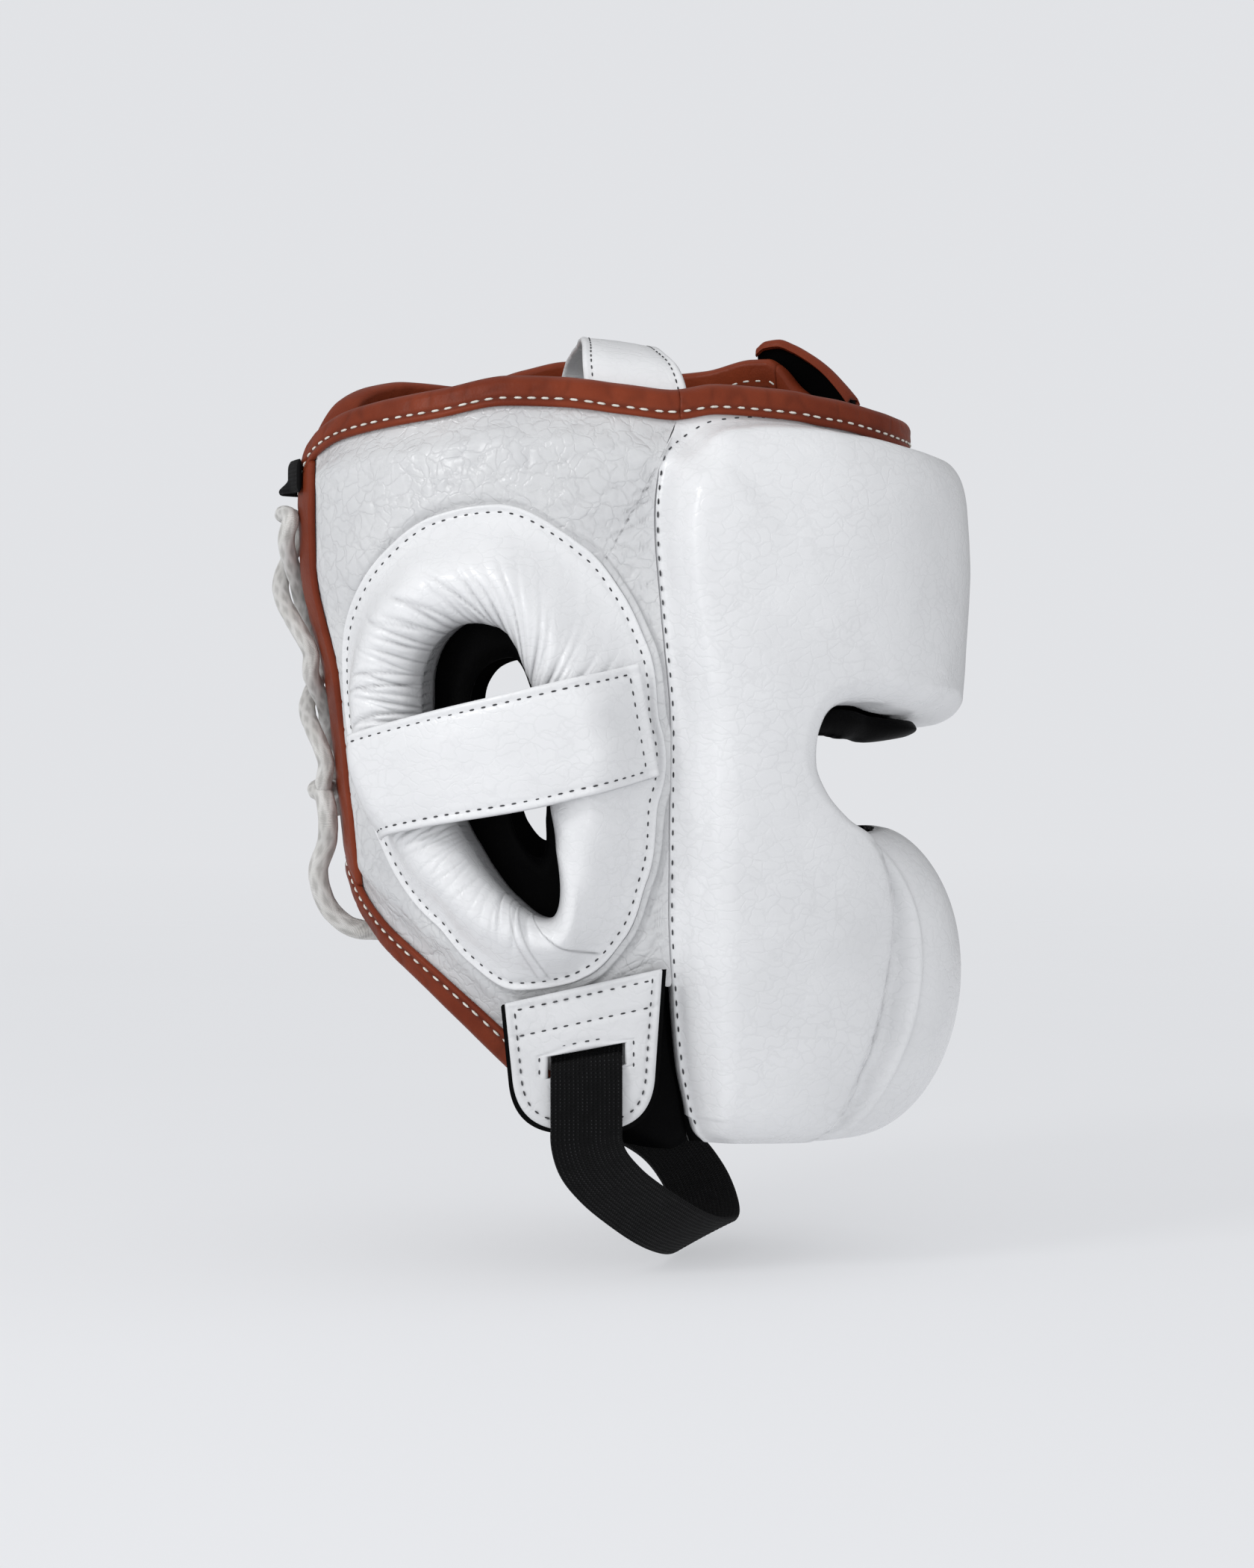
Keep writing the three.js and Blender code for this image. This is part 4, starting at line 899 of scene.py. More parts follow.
def make_face_bar():
    """Centre bulge: crowned both ways, with a firm ridge beside each seam and wrinkles across the seams."""
    shares = np.sin(np.linspace(-0.5, 0.5, BAR_COLUMNS) * np.pi)
    counts = np.linspace(0, SEAM_ROWS, BAR_ROWS)
    far = np.abs(shares)[:, None]
    swell = np.sqrt(np.clip(1 - far ** 2.6, 0, 1)) * (1 - 0.12 * far ** 2)
    thick = lerp(BAR["seam"], BAR["thick"], swell)

    def crown(v, z):
        lower = v < BAR["belly"]
        reach = np.where(lower, 1 - v / BAR["belly"], (v - BAR["belly"]) / (1 - BAR["belly"]))
        dome = np.sqrt(np.clip(1 - reach ** 2, 0, 1)) ** np.where(lower, BAR["foot"], BAR["head"])
        ridge = 2.8 * hump(far - 0.865, 0.048) - 1.7 * hump(far - 0.945, 0.03)
        pull = creases(far * 9, z / 3.6 + 60 * (shares[:, None] > 0), 8, 0.22) * hump(far - 0.965, 0.05)
        waves = 0.25 * field(shares[:, None] * 3 + 9, z / 22, 9)
        return SEAT + 2 + dome * (thick - SEAT - 2 + ridge + waves - 0.9 * pull)

    outer = bar_grid(shares, counts, crown)
    inner = bar_grid(shares, counts[::-5], lambda v, z: SEAT + 0 * z)
    obj = skin("face_bar_soft", np.concatenate([outer, inner], axis=1), SMOOTH_WHITE,
               replaces=["face_bar"])
    shares = np.linspace(-0.995, 0.995, BAR_LINING_COLUMNS)
    counts = np.linspace(0.05, SEAM_ROWS - 0.05, BAR_LINING_ROWS)
    front = bar_grid(shares, counts, lambda v, z: LINING + 0 * z)
    back = bar_grid(shares, counts[::-1], lambda v, z: 0.15 * field(shares[:, None] * 6, z / 9, 10))
    skin("lining_bar_soft", np.concatenate([front, back], axis=1), BLACK,
         replaces=["lining_bar"])


# Sides

def side_outline(side, seam_step):
    """Edge of a side along rim, back, foot and seam: direction from the ear, radius, the panel's radius."""
    rim = np.linspace(75.2, BACK_EDGE_ANGLE, 160)
    rim_z = rim_edge(side, rim)
    back_z = np.linspace(rim_z[-1], lower_edge(BACK_EDGE_ANGLE), 60)[1:-1]
    lower = np.linspace(BACK_EDGE_ANGLE, 73, 120)
    seam_z = np.linspace(-283, rim_z[0], 140)
    back = np.full(len(back_z), BACK_EDGE_ANGLE)
    angle = np.concatenate([rim, back, lower, seam_angle(seam_z) + seam_step])
    z = np.concatenate([rim_z, back_z, lower_edge(lower), seam_z])
    direction, radius = ear_polar(angle, z)
    short = np.where(angle < 90, column(PANEL_SHORT, "z", "share", z), 1)
    order = np.argsort(direction)
    return direction[order], radius[order], (radius * short)[order]


def even_rays(outline, count):
    """Directions from the ear whose rays end at even steps along the edge."""
    turn = np.radians(outline[0])
    edge = np.stack([outline[1] * np.sin(turn), outline[1] * np.cos(turn), 0 * turn], -1)
    reach = length_along(np.concatenate([edge, edge[:1]]))
    around = np.concatenate([outline[0], outline[0][:1] + 360])
    return np.interp(np.arange(count) * reach[-1] / count, reach, around)


def side_name(side):
    """right for -1, left for 1."""
    return "right" if side < 0 else "left"


def make_side(side):
    """Lining, crinkled panel and gathered ear pad of one side, on rays from the ear's centre to the edge."""
    name = side_name(side)
    seed = 20 if side < 0 else 60
    outline = side_outline(side, -0.15)
    direction = even_rays(outline, SIDE_LINING_RAYS)
    whole = np.interp(direction, outline[0], outline[1], period=360) - 0.05
    opening = ear_radius("lining", direction)
    run = np.linspace(0, 1, SIDE_LINING_RINGS)
    front = lerp(opening[:, None] + 0.4, whole[:, None], run)
    back = lerp(whole[:, None], opening[:, None] + 0.4, run)
    radius = np.concatenate([front, back, opening[:, None]], axis=1)
    height = np.concatenate([0 * run + LINING, 0 * run, [LINING / 2]])[None] + 0 * radius
    angle, z = ear_place(direction[:, None], radius)
    height = height - (height < 0.5) * 0.2 * np.abs(field(angle * 0.2, z / 9, seed + 1))
    skin(f"lining_{name}_soft", on_head(side * angle, z, height), BLACK, looped=True,
         replaces=[f"lining_{name}"])
    make_panel(side, name, seed)
    make_ear_pad(side, name, seed)
    make_ear_strap(side, name, seed)


def make_panel(side, name, seed):
    """Padded panel: full in the field and thin at its edges, creased off the seam and round the ear pad."""
    outline = side_outline(side, -SEWN_GAP + 0.16)
    direction = even_rays(outline, PANEL_RAYS)
    edge = np.interp(direction, outline[0], outline[2], period=360)
    sewn = ear_radius("pad", direction)
    mouth = ear_radius("hole", direction) + EAR_SKIRT + 0.45
    inner = lerp(mouth[:, None], sewn[:, None], np.linspace(0, 1, 6)[:-1])
    run = np.linspace(0, 1, PANEL_RINGS)
    outer = lerp(sewn[:, None], edge[:, None], smooth(run) * 0.4 + run * 0.6)
    radius = np.concatenate([inner, outer], axis=1)
    turn = direction[:, None]
    angle, z = ear_place(turn, radius)
    room = panel_room(side, angle, z)
    from_pad = radius - sewn[:, None]
    from_seam = (angle - seam_angle(z)) * MM_PER_DEGREE
    arc = np.radians(turn) * sewn[:, None]
    ahead = -angle * MM_PER_DEGREE
    rising, across = 0.91 * ahead + 0.42 * z, 0.91 * z - 0.42 * ahead
    bent = across + 2.2 * field(rising / 21, across / 17, seed + 1)
    near_seam = np.exp(-np.abs(from_seam) / 24)
    top_front = np.exp(-(((angle - 90) * MM_PER_DEGREE) / 42) ** 2 - ((z + 52) / 34) ** 2)
    long_folds = creases(rising / 27, bent / 3.3, seed + 2, 0.13) * (0.14 + 0.42 * top_front)
    seam_folds = creases(from_seam / 13, z / 2.7 + 0.2 * from_seam, seed + 3, 0.15) * near_seam
    pad_folds = creases(from_pad / 17 + 7, arc / 3.1, seed + 4, 0.15) * np.exp(-np.abs(from_pad) / 15)
    to_back = 0.3 + 0.7 * hump(np.mod(turn - 62 + 180, 360) - 180, 55)
    net = creases((ahead + bent) / 4.1, (across - 0.4 * rising) / 4.7, seed + 5, 0.11)
    net = net * (0.25 + 0.75 * near_seam)
    waves = 0.4 * field(angle / 9, z / 16, seed + 6) + 0.14 * field(angle / 4, z / 7, seed + 7)
    free = smooth(room / 6) * smooth((from_pad - 2) / 3) * smooth((from_seam + 0.3) / 3.5)
    from_facing = (BACK_EDGE_ANGLE - angle) * BACK_MM_PER_DEGREE - FACING_WIDTH
    bead = 0.9 * hump(from_facing - 1.6, 0.9) * (z > -180)
    to_front = smooth(1.6 * hump(np.mod(turn - 262 + 180, 360) - 180, 95) - 0.3)
    outside = from_pad > 0
    under_layer = 1.5 * smooth((2.9 - from_pad) / 0.5) * to_front * outside
    tuck = 1.7 * hump(from_pad - 0.8, 2.0) * (1 - to_front) + 0.7 * hump(from_pad - 4.0, 1.2) * to_front
    depth = 0.6 * long_folds + 0.5 * seam_folds + 0.7 * pad_folds * to_back + 0.22 * net
    top = panel_height(side, angle, z) + free * (waves - depth) + bead
    top = top + smooth(room / 4) * (under_layer - tuck * outside)
    # Painted shadow: a dark line round the ear pad's foot, and painted shade in the panel's folds by their
    # depth
    dark = 0.28 * hump(from_pad - lerp(0.5, 3.2, to_front), 0.8) * outside
    valley = np.clip(free * depth * 0.3 + dark, 0, 0.8)
    under = radius[:, ::-6]
    under_angle, under_z = ear_place(turn, under)
    points = np.concatenate([
        on_head(side * angle, z, top),
        on_head(side * under_angle, under_z, SEAT),
    ], axis=1)
    valley = np.concatenate([valley, 0 * under], axis=1)
    obj = skin(f"side_panel_{name}_soft", points, CRINKLED_WHITE, looped=True,
               replaces=[f"side_panel_{name}"], marks={"valley": valley})


# Gathers of the ear pad: spans of direction, how many pleats, their depth, where they start, and their lean
GATHERS = table("first last count depth start lean", [
    (266, 345, 13, 2.8, 0.16, -16), (345, 400, 14, 2.7, 0.22, -24), (400, 448, 14, 2.7, 0.2, -20),
    (448, 492, 12, 2.5, 0.14, 4), (492, 534, 13, 0.9, 0.06, 12), (534, 548, 4, 2.0, 0.2, 4),
    (560, 636, 8, 0.16, 0.3, 0), (266, 500, 58, 0.9, 0.3, -12),
])


def ear_gathers(turn, share, seed):
    """Pleats of the ear pad: valleys that start in its field and deepen to the opening.

    Each valley is a sharp notch exp(-|x|^1.3) across its leaning line, with a low wide swell beside it.
    """
    draw = np.random.default_rng(seed)
    total = np.zeros(np.broadcast_shapes(turn.shape, share.shape))
    for first, last, count, depth, start, lean in np.stack(list(GATHERS.values()), -1):
        pitch = (last - first) / count
        for k in range(int(count)):
            middle = first + pitch * (k + 0.5 + draw.uniform(-0.33, 0.33))
            leaning = lean + draw.uniform(-9, 9)
            bow = draw.uniform(-14, 14) * (share - 0.7) ** 2
            from_line = np.abs(np.mod(turn - middle - leaning * (share - 0.85) - bow + 180, 360) - 180)
            wide = pitch * draw.uniform(0.17, 0.30)
            begin = start + draw.uniform(-0.12, 0.26)
            grows = smooth((share - begin) / (0.92 - begin))
            deep = depth * draw.uniform(0.45, 1.2)
            notch = np.exp(-((from_line / wide) ** 1.3))
            total += grows * deep * (0.36 * hump(from_line, pitch * 0.62) - notch)
    return total


# Lines of the overlap at the ear pad's foot: each one's direction at the opening, then at the sewn edge
LAP_LINES = ((189, 205), (184.6, 190.6), (181.6, 187.6))
EAR_ROLL_END = 3


def ear_pad_top(turn, share):
    """Height of the ear pad over its floor: flange with a sewn groove, climb, then an elliptical roll."""
    sewn, hole = ear_radius("pad", turn), ear_radius("hole", turn)
    inset = share * (sewn - hole)
    climb = ear_rise(np.minimum(share, 0.64))
    past = np.clip(share - EAR_ROLL_START, 0, 1) / (1 - EAR_ROLL_START)
    roll = EAR_ROLL_END + (EAR_PAD_RISE - EAR_ROLL_END) * np.sqrt(np.clip(1 - past ** 2, 0, 1))
    top = np.where(share < EAR_ROLL_START, climb, roll)
    groove = 0.9 * hump(inset - EAR_PAD_SEWN_IN, 1.3)
    return top - groove


def make_ear_pad(side, name, seed):
    """Stuffed ring round the ear, gathered towards the opening, with the overlap of its ends at its foot."""
    direction = np.linspace(0, 360, EAR_PAD_RAYS, endpoint=False)[:, None]
    sewn, hole = ear_radius("pad", direction), ear_radius("hole", direction)

    def floor(radius):
        angle, z = ear_place(direction, radius)
        return panel_height(side, angle, z) + EAR_PAD_GAP

    flange = np.linspace(0, 0.12, 10)[1:]
    climb = np.linspace(0.12, EAR_ROLL_START, 22)[1:]
    roll = lerp(EAR_ROLL_START, 1, np.sin(np.linspace(0, 0.5, 16)[1:] * np.pi))
    share = np.concatenate([flange, climb, roll])[None]
    radius = lerp(sewn, hole, share)
    gathers = ear_gathers(direction, share, seed + 8)
    c, s = np.cos(np.radians(direction)), np.sin(np.radians(direction))
    wavy = 0.3 * field(9 + 4 * c, 9 + 4 * s + share * 2, seed + 9)
    wavy = wavy + 0.12 * field(40 + 19 * c, 40 + 19 * s + share * 7, seed + 10)
    lines = [lerp(inner, outer, 1 - share) for inner, outer in LAP_LINES]
    lap = -0.9 * smooth((lines[0] - direction) / 0.35) * smooth((direction - lines[1]) / 1.5)
    bead = hump(direction - (lines[1] + lines[2]) / 2, 1.3)
    within = smooth((share - 0.08) / 0.1)
    gathered = smooth((share - 0.1) / 0.1) * (gathers + wavy)
    top = ear_pad_top(direction, share) + gathered + within * (lap + bead)
    # Painted shade: darker along the overlap lines at the foot, in the gathers' valleys, and towards the
    # opening
    lap_shade = (0.9 * hump(direction - lines[0], 0.28) + 0.5 * hump(direction - lines[1], 0.3)
                + 0.35 * hump(direction - lines[2], 0.4))
    opening_shade = 0.35 * smooth((share - 0.93) / 0.07)
    valley = np.clip(-gathers * 0.3 - 0.1, 0, 0.85) + within * lap_shade + opening_shade
    angle, z = ear_place(direction, radius)
    wall_in = np.linspace(0, 1, 6)[None, 1:]
    sink = np.clip(-gathers[:, -1:], 0, 2) * (1 - wall_in) * 0.8
    undercut = 0.4 + 2.9 * hump(np.mod(direction - 75 + 180, 360) - 180, 60)
    wall_radius = hole + sink * (1 - wall_in) + undercut * wall_in
    wall_angle, wall_z = ear_place(direction, wall_radius)
    wall_height = lerp(floor(radius[:, -1:]) + EAR_ROLL_END, SEAT + EAR_PAD_GAP, wall_in)
    skirt = hole + EAR_SKIRT
    low = np.concatenate([skirt - 0.1, lerp(skirt, sewn, 0.5), sewn - 1.2], axis=1)
    low_angle, low_z = ear_place(direction, low)
    foot_angle, foot_z = ear_place(direction, skirt)
    brim = np.concatenate([sewn - 0.5, sewn - 0.05, sewn, sewn - 0.1], axis=1)
    brim_angle, brim_z = ear_place(direction, brim)
    brim_height = floor(brim) + np.array([[0.0, 0.25, 1.2, 2.1]])
    points = np.concatenate([
        on_head(side * brim_angle, brim_z, brim_height),
        on_head(side * angle, z, floor(radius) + top),
        on_head(side * wall_angle, wall_z, wall_height),
        on_head(side * foot_angle, foot_z, SEAT + EAR_PAD_GAP),
        on_head(side * low_angle, low_z, floor(low)),
    ], axis=1)
    marks = np.zeros(points.shape[:2])
    face_end = brim.shape[1] + share.shape[1]
    marks[:, brim.shape[1]:face_end] = valley
    # Painted shade: the wall into the opening darkens with depth, as in its own shadow
    marks[:, face_end:face_end + wall_in.shape[1]] = valley[:, -1:] * (1 - wall_in) + 0.35 + 0.6 * wall_in
    obj = skin(f"ear_pad_{name}_soft", points, SMOOTH_WHITE, looped=True,
               replaces=[f"ear_pad_{name}"], marks={"valley": np.clip(marks, 0, 1)})


def ear_strap_place(side, angle, v, rise):
    """Point of the strip over the ear: angle along it, share v from bottom to top, rise over its seat."""
    top, bottom, lean = (column(EAR_STRAP, "angle", key, angle) for key in ("top", "bottom", "foot"))
    at = angle + lean * (1 - v)
    z = lerp(bottom, top, v)
    direction, radius = ear_polar(at, z)
    hole, sewn = ear_radius("hole", direction), ear_radius("pad", direction)
    share = np.clip((sewn - radius) / (sewn - hole), 0, 1)
    return on_head(side * at, z, panel_height(side, at, z) + ear_rise(share) + 2.6 + rise)


def make_ear_strap(side, name, seed):
    """Strip across the ear: a flat band with a soft crown, rounded edges, and grooves where it is sewn."""
    first, last = EAR_STRAP["angle"][[0, -1]]
    angle = np.linspace(first, last, EAR_STRAP_SECTIONS)[:, None]
    v = np.linspace(0, 1, EAR_STRAP_COLUMNS)
    from_edge = np.minimum(v, 1 - v) * EAR_STRAP_WIDTH
    from_front = (angle - first) * MM_PER_DEGREE
    round_edge = 0.9 * np.clip(1 - from_edge / 1.1, 0, 1) ** 2
    groove = 0.5 * hump(from_edge - 3.0, 1.0) + 0.5 * hump(from_front - 3.0, 1.0)
    crown = 0.8 * smooth((from_edge - 3) / 9) * smooth((from_front - 3) / 9)
    waves = 0.22 * field(angle / 7, v * 4, seed + 11)
    over = STRAP_LEATHER - round_edge - groove + crown + waves
    under = 0.5 * np.clip(1 - from_edge / 1.1, 0, 1) ** 2 + 0 * angle
    points = np.concatenate([
        ear_strap_place(side, angle, v[None], over),
        ear_strap_place(side, angle, v[None, ::-4], under[:, ::-4]),
    ], axis=1)
    skin(f"ear_strap_{name}_soft", points, SMOOTH_WHITE, replaces=[f"ear_strap_{name}"])


# Bindings

def binding_place(angle, z, down, depth, out, high):
    """Points round a bound edge: depth along the way into the material, out from the head form."""
    scale = np.linalg.norm(on_head(angle + 0.5, z, high) - on_head(angle - 0.5, z, high), axis=-1)
    return on_head(
        angle[:, None] + depth * (down[0] / scale)[:, None],
        z[:, None] + depth * down[1][:, None],
        out,
    )


def facing_place(side, share, depth, out):
    """Points of a lace facing: share of its height from the rim down, depth in from the back edge."""
    low = lower_edge(BACK_EDGE_ANGLE)
    level = lerp(rim_edge(side, BACK_EDGE_ANGLE), low, share)
    scale = np.linalg.norm(on_head(171, level, EDGE) - on_head(172, level, EDGE), axis=-1)
    angle = BACK_EDGE_ANGLE - depth / scale[:, None]
    top = rim_edge(side, angle) - BINDING_LEG - 0.5
    foot = lower_edge(angle) + BINDING_LEG * 1.25
    return on_head(side * angle, lerp(top, foot, share[:, None]), out)


def make_binding(name, seed, angle, z, down, outer, inner, low=0.0, high=EDGE, sewn=6.3, place=None):
    """Folded strip over an edge: two legs and a round fold, a sewn groove, and a slightly uneven lie.

    The legs' depths are outer and inner, the layers between them lie from low to high off the head form.
    It returns the rows of stitches along both legs, each as points and ways out.
    """
    over, under = high + FOLD_ROOM, low - FOLD_ROOM
    top, foot, middle = over + BINDING_WALL, under - BINDING_WALL, (high + low) / 2
    fold = -0.45 - BINDING_WALL
    shape = control(
        (outer - 0.15, over - 0.75), (outer + 0.1, over + 0.1), (outer - 0.35, top - 0.45),
        (outer - 1.3, top - 0.05), (outer * 0.45, top + 0.1), (0.9, top - 0.05), (-0.8, over + 0.45),
        (fold * 0.9, lerp(over, middle, 0.5)), (fold, middle), (fold * 0.9, lerp(under, middle, 0.5)),
        (-0.8, under - 0.45), (0.9, foot + 0.05), (inner - 0.8, foot), (inner, under - 0.6),
        (inner - 0.2, under), (0.4, under), (-0.4, under + 0.5), (-0.4, over - 0.5), (0.4, over),
        (outer - 1.2, over - 0.35),
    )
    profile = through(shape, (2, 2, 3, 6, 6, 4, 3, 2, 2, 2, 2, 2, 2, 1, 1, 1, 1, 1, 2, 1))
    middle_line = on_head(angle, z, high)
    along = length_along(middle_line)[:, None]
    depth = profile[None, :, 0] + 0.28 * field(along / 13, 0 * along + 0.5, seed)
    out = profile[None, :, 1] + 0 * along
    outside = smooth((out - over) / 0.8)
    groove = 0.55 * hump(depth - sewn, 0.85) if sewn else 0
    pucker = 0.22 * creases(along / 7, depth / 9, seed + 1, 0.2) * hump(depth - 2, 4)
    out = out + outside * (0.18 * field(along / 10, depth / 6, seed + 2) - groove - pucker)
    # Painted shade: the binding darkens in its sewn groove and its puckers
    groove_shade = np.clip(outside * (groove * 0.9 + pucker * 1.2), 0, 0.8)
    points = place(depth, out) if place else binding_place(angle, z, down, depth, out, high)
    skin(f"{name}_soft", points, BROWN, replaces=[name], marks={"valley": groove_shade})
    if not sewn:
        return []
    at = np.full((len(angle), 1), sewn)

    def line(level):
        return binding_place(angle, z, down, at, level + 0 * at, high)[:, 0]

    on_top, on_foot = line(top - 0.25), line(foot + 0.1)
    outward = line(top + 0.75) - on_top
    return [(on_top, outward), (on_foot, -outward)]


def straight_down(angle):
    """Way into the material under a rim: straight down."""
    return np.zeros(len(angle)), -np.ones(len(angle))


def make_bindings():
    """All brown edges, with the white stitches of the rim and the lower edges."""
    rows = []
    edge_angles = pad_row(np.linspace(0, LAST_ROW, SOLID_SECTIONS))["a_out"]
    joint = np.max(np.where(edge_angles < JOINT_BEFORE, edge_angles, -180))
    front = np.linspace(0.02 - RIM_JOINT, joint - 0.03, BINDING_SECTIONS["front"])
    rows.extend(make_binding("rim_binding_front", 91, front, rim_edge(front, front), straight_down(front),
                             BINDING_LEG, BINDING_LEG))
    for side in (-1, 1):
        name = side_name(side)
        seed = 100 if side < 0 else 120
        first = RIM_JOINT + 0.02 if side < 0 else joint + 0.03
        rim = np.linspace(first, BACK_EDGE_ANGLE, BINDING_SECTIONS["side"])
        rows.extend(make_binding(f"rim_binding_{name}", seed, side * rim, rim_edge(side, rim),
                                 straight_down(rim), BINDING_LEG, BINDING_LEG, low=-0.3))
        share = np.linspace(0, 1, BINDING_SECTIONS["back"])
        z = lerp(rim_edge(side, BACK_EDGE_ANGLE), lower_edge(BACK_EDGE_ANGLE), share)
        back = np.full(len(z), side * BACK_EDGE_ANGLE)
        make_binding(f"back_binding_{name}", seed + 3, back, z, None, FACING_WIDTH, 11, low=-0.8, sewn=None,
                     place=lambda depth, out: facing_place(side, share, depth, out))
        lower = np.linspace(BACK_EDGE_ANGLE, LOWER_BINDING_END, BINDING_SECTIONS["lower"])
        slope = (lower_edge(lower + 1) - lower_edge(lower - 1)) / (2 * LOWER_MM_PER_DEGREE)
        length = np.hypot(1, slope)
        down = (-side * slope / length, 1 / length)
        rows.extend(make_binding(f"lower_binding_{name}", seed + 6, side * lower, lower_edge(lower), down,
                                 BINDING_LEG * 0.95, 7, sewn=6.1))
    stitch_rows("binding_stitches", rows, WHITE_THREAD)


# Straps, tabs, cords

def band(middle, across, width, thick, face_marks, columns):
    """Flat band along a path: its ring runs over the outer face, then back under; rounded at both edges.

    face_marks gives extra height on the outer face by distance from the nearer edge.
    """
    along = unit(np.gradient(middle, axis=0))
    across = unit(across - np.sum(across * along, -1, keepdims=True) * along)
    face = np.cross(along, across)
    v = np.linspace(-1, 1, columns)
    from_edge = (1 - np.abs(v))[None] * width[:, None] / 2
    soft = np.clip(1 - from_edge / (thick * 0.45), 0, 1) ** 2 * thick * 0.4
    over = thick / 2 - soft + face_marks(from_edge)
    under = -thick / 2 + soft
    side = v[None] * width[:, None] / 2
    top = middle[:, None] + side[..., None] * across[:, None] + over[..., None] * face[:, None]
    low = middle[:, None] + side[:, ::-1, None] * across[:, None] + under[:, ::-1, None] * face[:, None]
    return np.concatenate([top, low], axis=1), across, face


def make_crown_strap():
    """White strap over the crown, bowed over the head, with a sewn groove inside each edge."""
    knots = np.stack([CROWN_STRAP[key] for key in "xyz"], -1)
    middle = curve(knots, CROWN_PARTS)
    slope = math.radians(CROWN_SLOPE)
    across = np.tile([-math.cos(slope), 0, math.sin(slope)], (len(middle), 1))
    width = column(CROWN_STRAP, "y", "width", middle[:, 1])
    reach = length_along(middle)[:, None]

    def marks(from_edge):
        groove = -0.35 * hump(from_edge - CROWN_SEWN_IN, 0.8)
        return groove + 0.25 * smooth((from_edge - 4) / 5) + 0.15 * field(reach / 9, from_edge / 8, 150)

    points, across, face = band(middle, across, width, CROWN_LEATHER, marks, CROWN_COLUMNS)
    skin("crown_strap_soft", points, SMOOTH_WHITE, replaces=["crown_strap"])
    lines = []
    for way in (-1, 1):
        line = middle + way * (width / 2 - CROWN_SEWN_IN)[:, None] * across + face * 0.85
        lines.append((line[4:-4], face[4:-4]))
    stitch_rows("crown_strap_stitches", lines, DARK_THREAD)


def tab_outline(grow):
    """Outline of a chin tab in its plane: sloped top, sides that narrow, and a round foot; dense points.

    A grown outline is the backing's, which stops just short of the tab's top.
    """
    half, foot, corner, narrow = TAB["half"] + grow, -TAB["drop"] - grow, TAB["corner"], TAB["narrow"]
    rise = half * math.tan(math.radians(TAB["slope"]))
    over = -0.4 * (grow > 0)
    knots = [(-half, over - rise), (-half + narrow, foot + corner)]
    left, right = -half + narrow, half - narrow
    u = np.linspace(0, 1, 30)[:, None]

    def bend(a, b, c):
        a, b, c = (np.array(p, float) for p in (a, b, c))
        return (1 - u) ** 2 * a + 2 * u * (1 - u) * b + u ** 2 * c

    def line(a, b):
        return lerp(np.array(a, float), np.array(b, float), np.linspace(0, 1, 60)[:, None])

    return np.concatenate([
        line(knots[0], knots[1]),
        bend(knots[1], (left + 1.5, foot + 1), (left + corner, foot)),
        line((left + corner, foot), (right - corner, foot)),
        bend((right - corner, foot), (right - 1.5, foot + 1), (right, foot + corner)),
        line((right, foot + corner), (half, over + rise)),
        line((half, over + rise), (-half, over - rise)),
    ])


def slot_radius(turn):
    """Distance from the slot's middle to its edge: a sloped rectangle by direction."""
    slope = math.tan(math.radians(SLOT["slope"]))
    c, s = np.cos(turn), np.sin(turn)
    to_end = SLOT["half"] / np.maximum(np.abs(c), 1e-6)
    to_side = SLOT["height"] / 2 / np.maximum(np.abs(s - c * slope), 1e-6)
    return np.minimum(to_end, to_side)


def on_tab(side, along, up, out):
    """Point of a tab's plane: along to the front, up, and out from its backing's inner face."""
    lean = math.tan(math.radians(TAB_PLACE["lean"]))
    along, up, out = np.broadcast_arrays(along, up, out)
    x, z = TAB_PLACE["x"] + along, TAB_PLACE["z"] + up
    return np.stack([x, side * (TAB_PLACE["y"] + up * lean + out), z], -1)


def make_plate(name, side, grow, low, thick, material, soft, relief, rays, rings):
    """Plate with a slot: rings from the slot's edge to the outline, rounded at both, then back under."""
    outline = tab_outline(grow)
    turn = np.linspace(-np.pi, np.pi, rays, endpoint=False)
    from_slot = outline - (SLOT["along"], SLOT["up"])
    knots = np.arctan2(from_slot[:, 1], from_slot[:, 0])
    order = np.argsort(knots)
    reach = np.hypot(from_slot[:, 0], from_slot[:, 1])
    far = np.interp(turn, knots[order], reach[order], period=2 * np.pi)
    near = slot_radius(turn)
    run = np.linspace(0, 1, rings)
    radius = lerp(near[:, None], far[:, None], run)
    along = SLOT["along"] + radius * np.cos(turn)[:, None]
    up = SLOT["up"] + radius * np.sin(turn)[:, None]
    from_edge = far[:, None] - radius
    from_slot = radius - near[:, None]
    round_edge = soft * (np.clip(1 - from_edge / 1.2, 0, 1) ** 2 + np.clip(1 - from_slot / 1.0, 0, 1) ** 2)
    top = on_tab(side, along, up, low + thick - round_edge + relief(along, up, from_edge, from_slot))
    under = on_tab(side, along[:, ::-3], up[:, ::-3], low + 0 * along[:, ::-3])
    skin(name + "_soft", np.concatenate([top, under], axis=1), material, looped=True, replaces=[name])


def inset_line(points, distance):
    """Run of points moved to its left by a distance."""
    way = unit(np.gradient(points, axis=0))
    return points + distance * np.stack([-way[:, 1], way[:, 0]], -1)


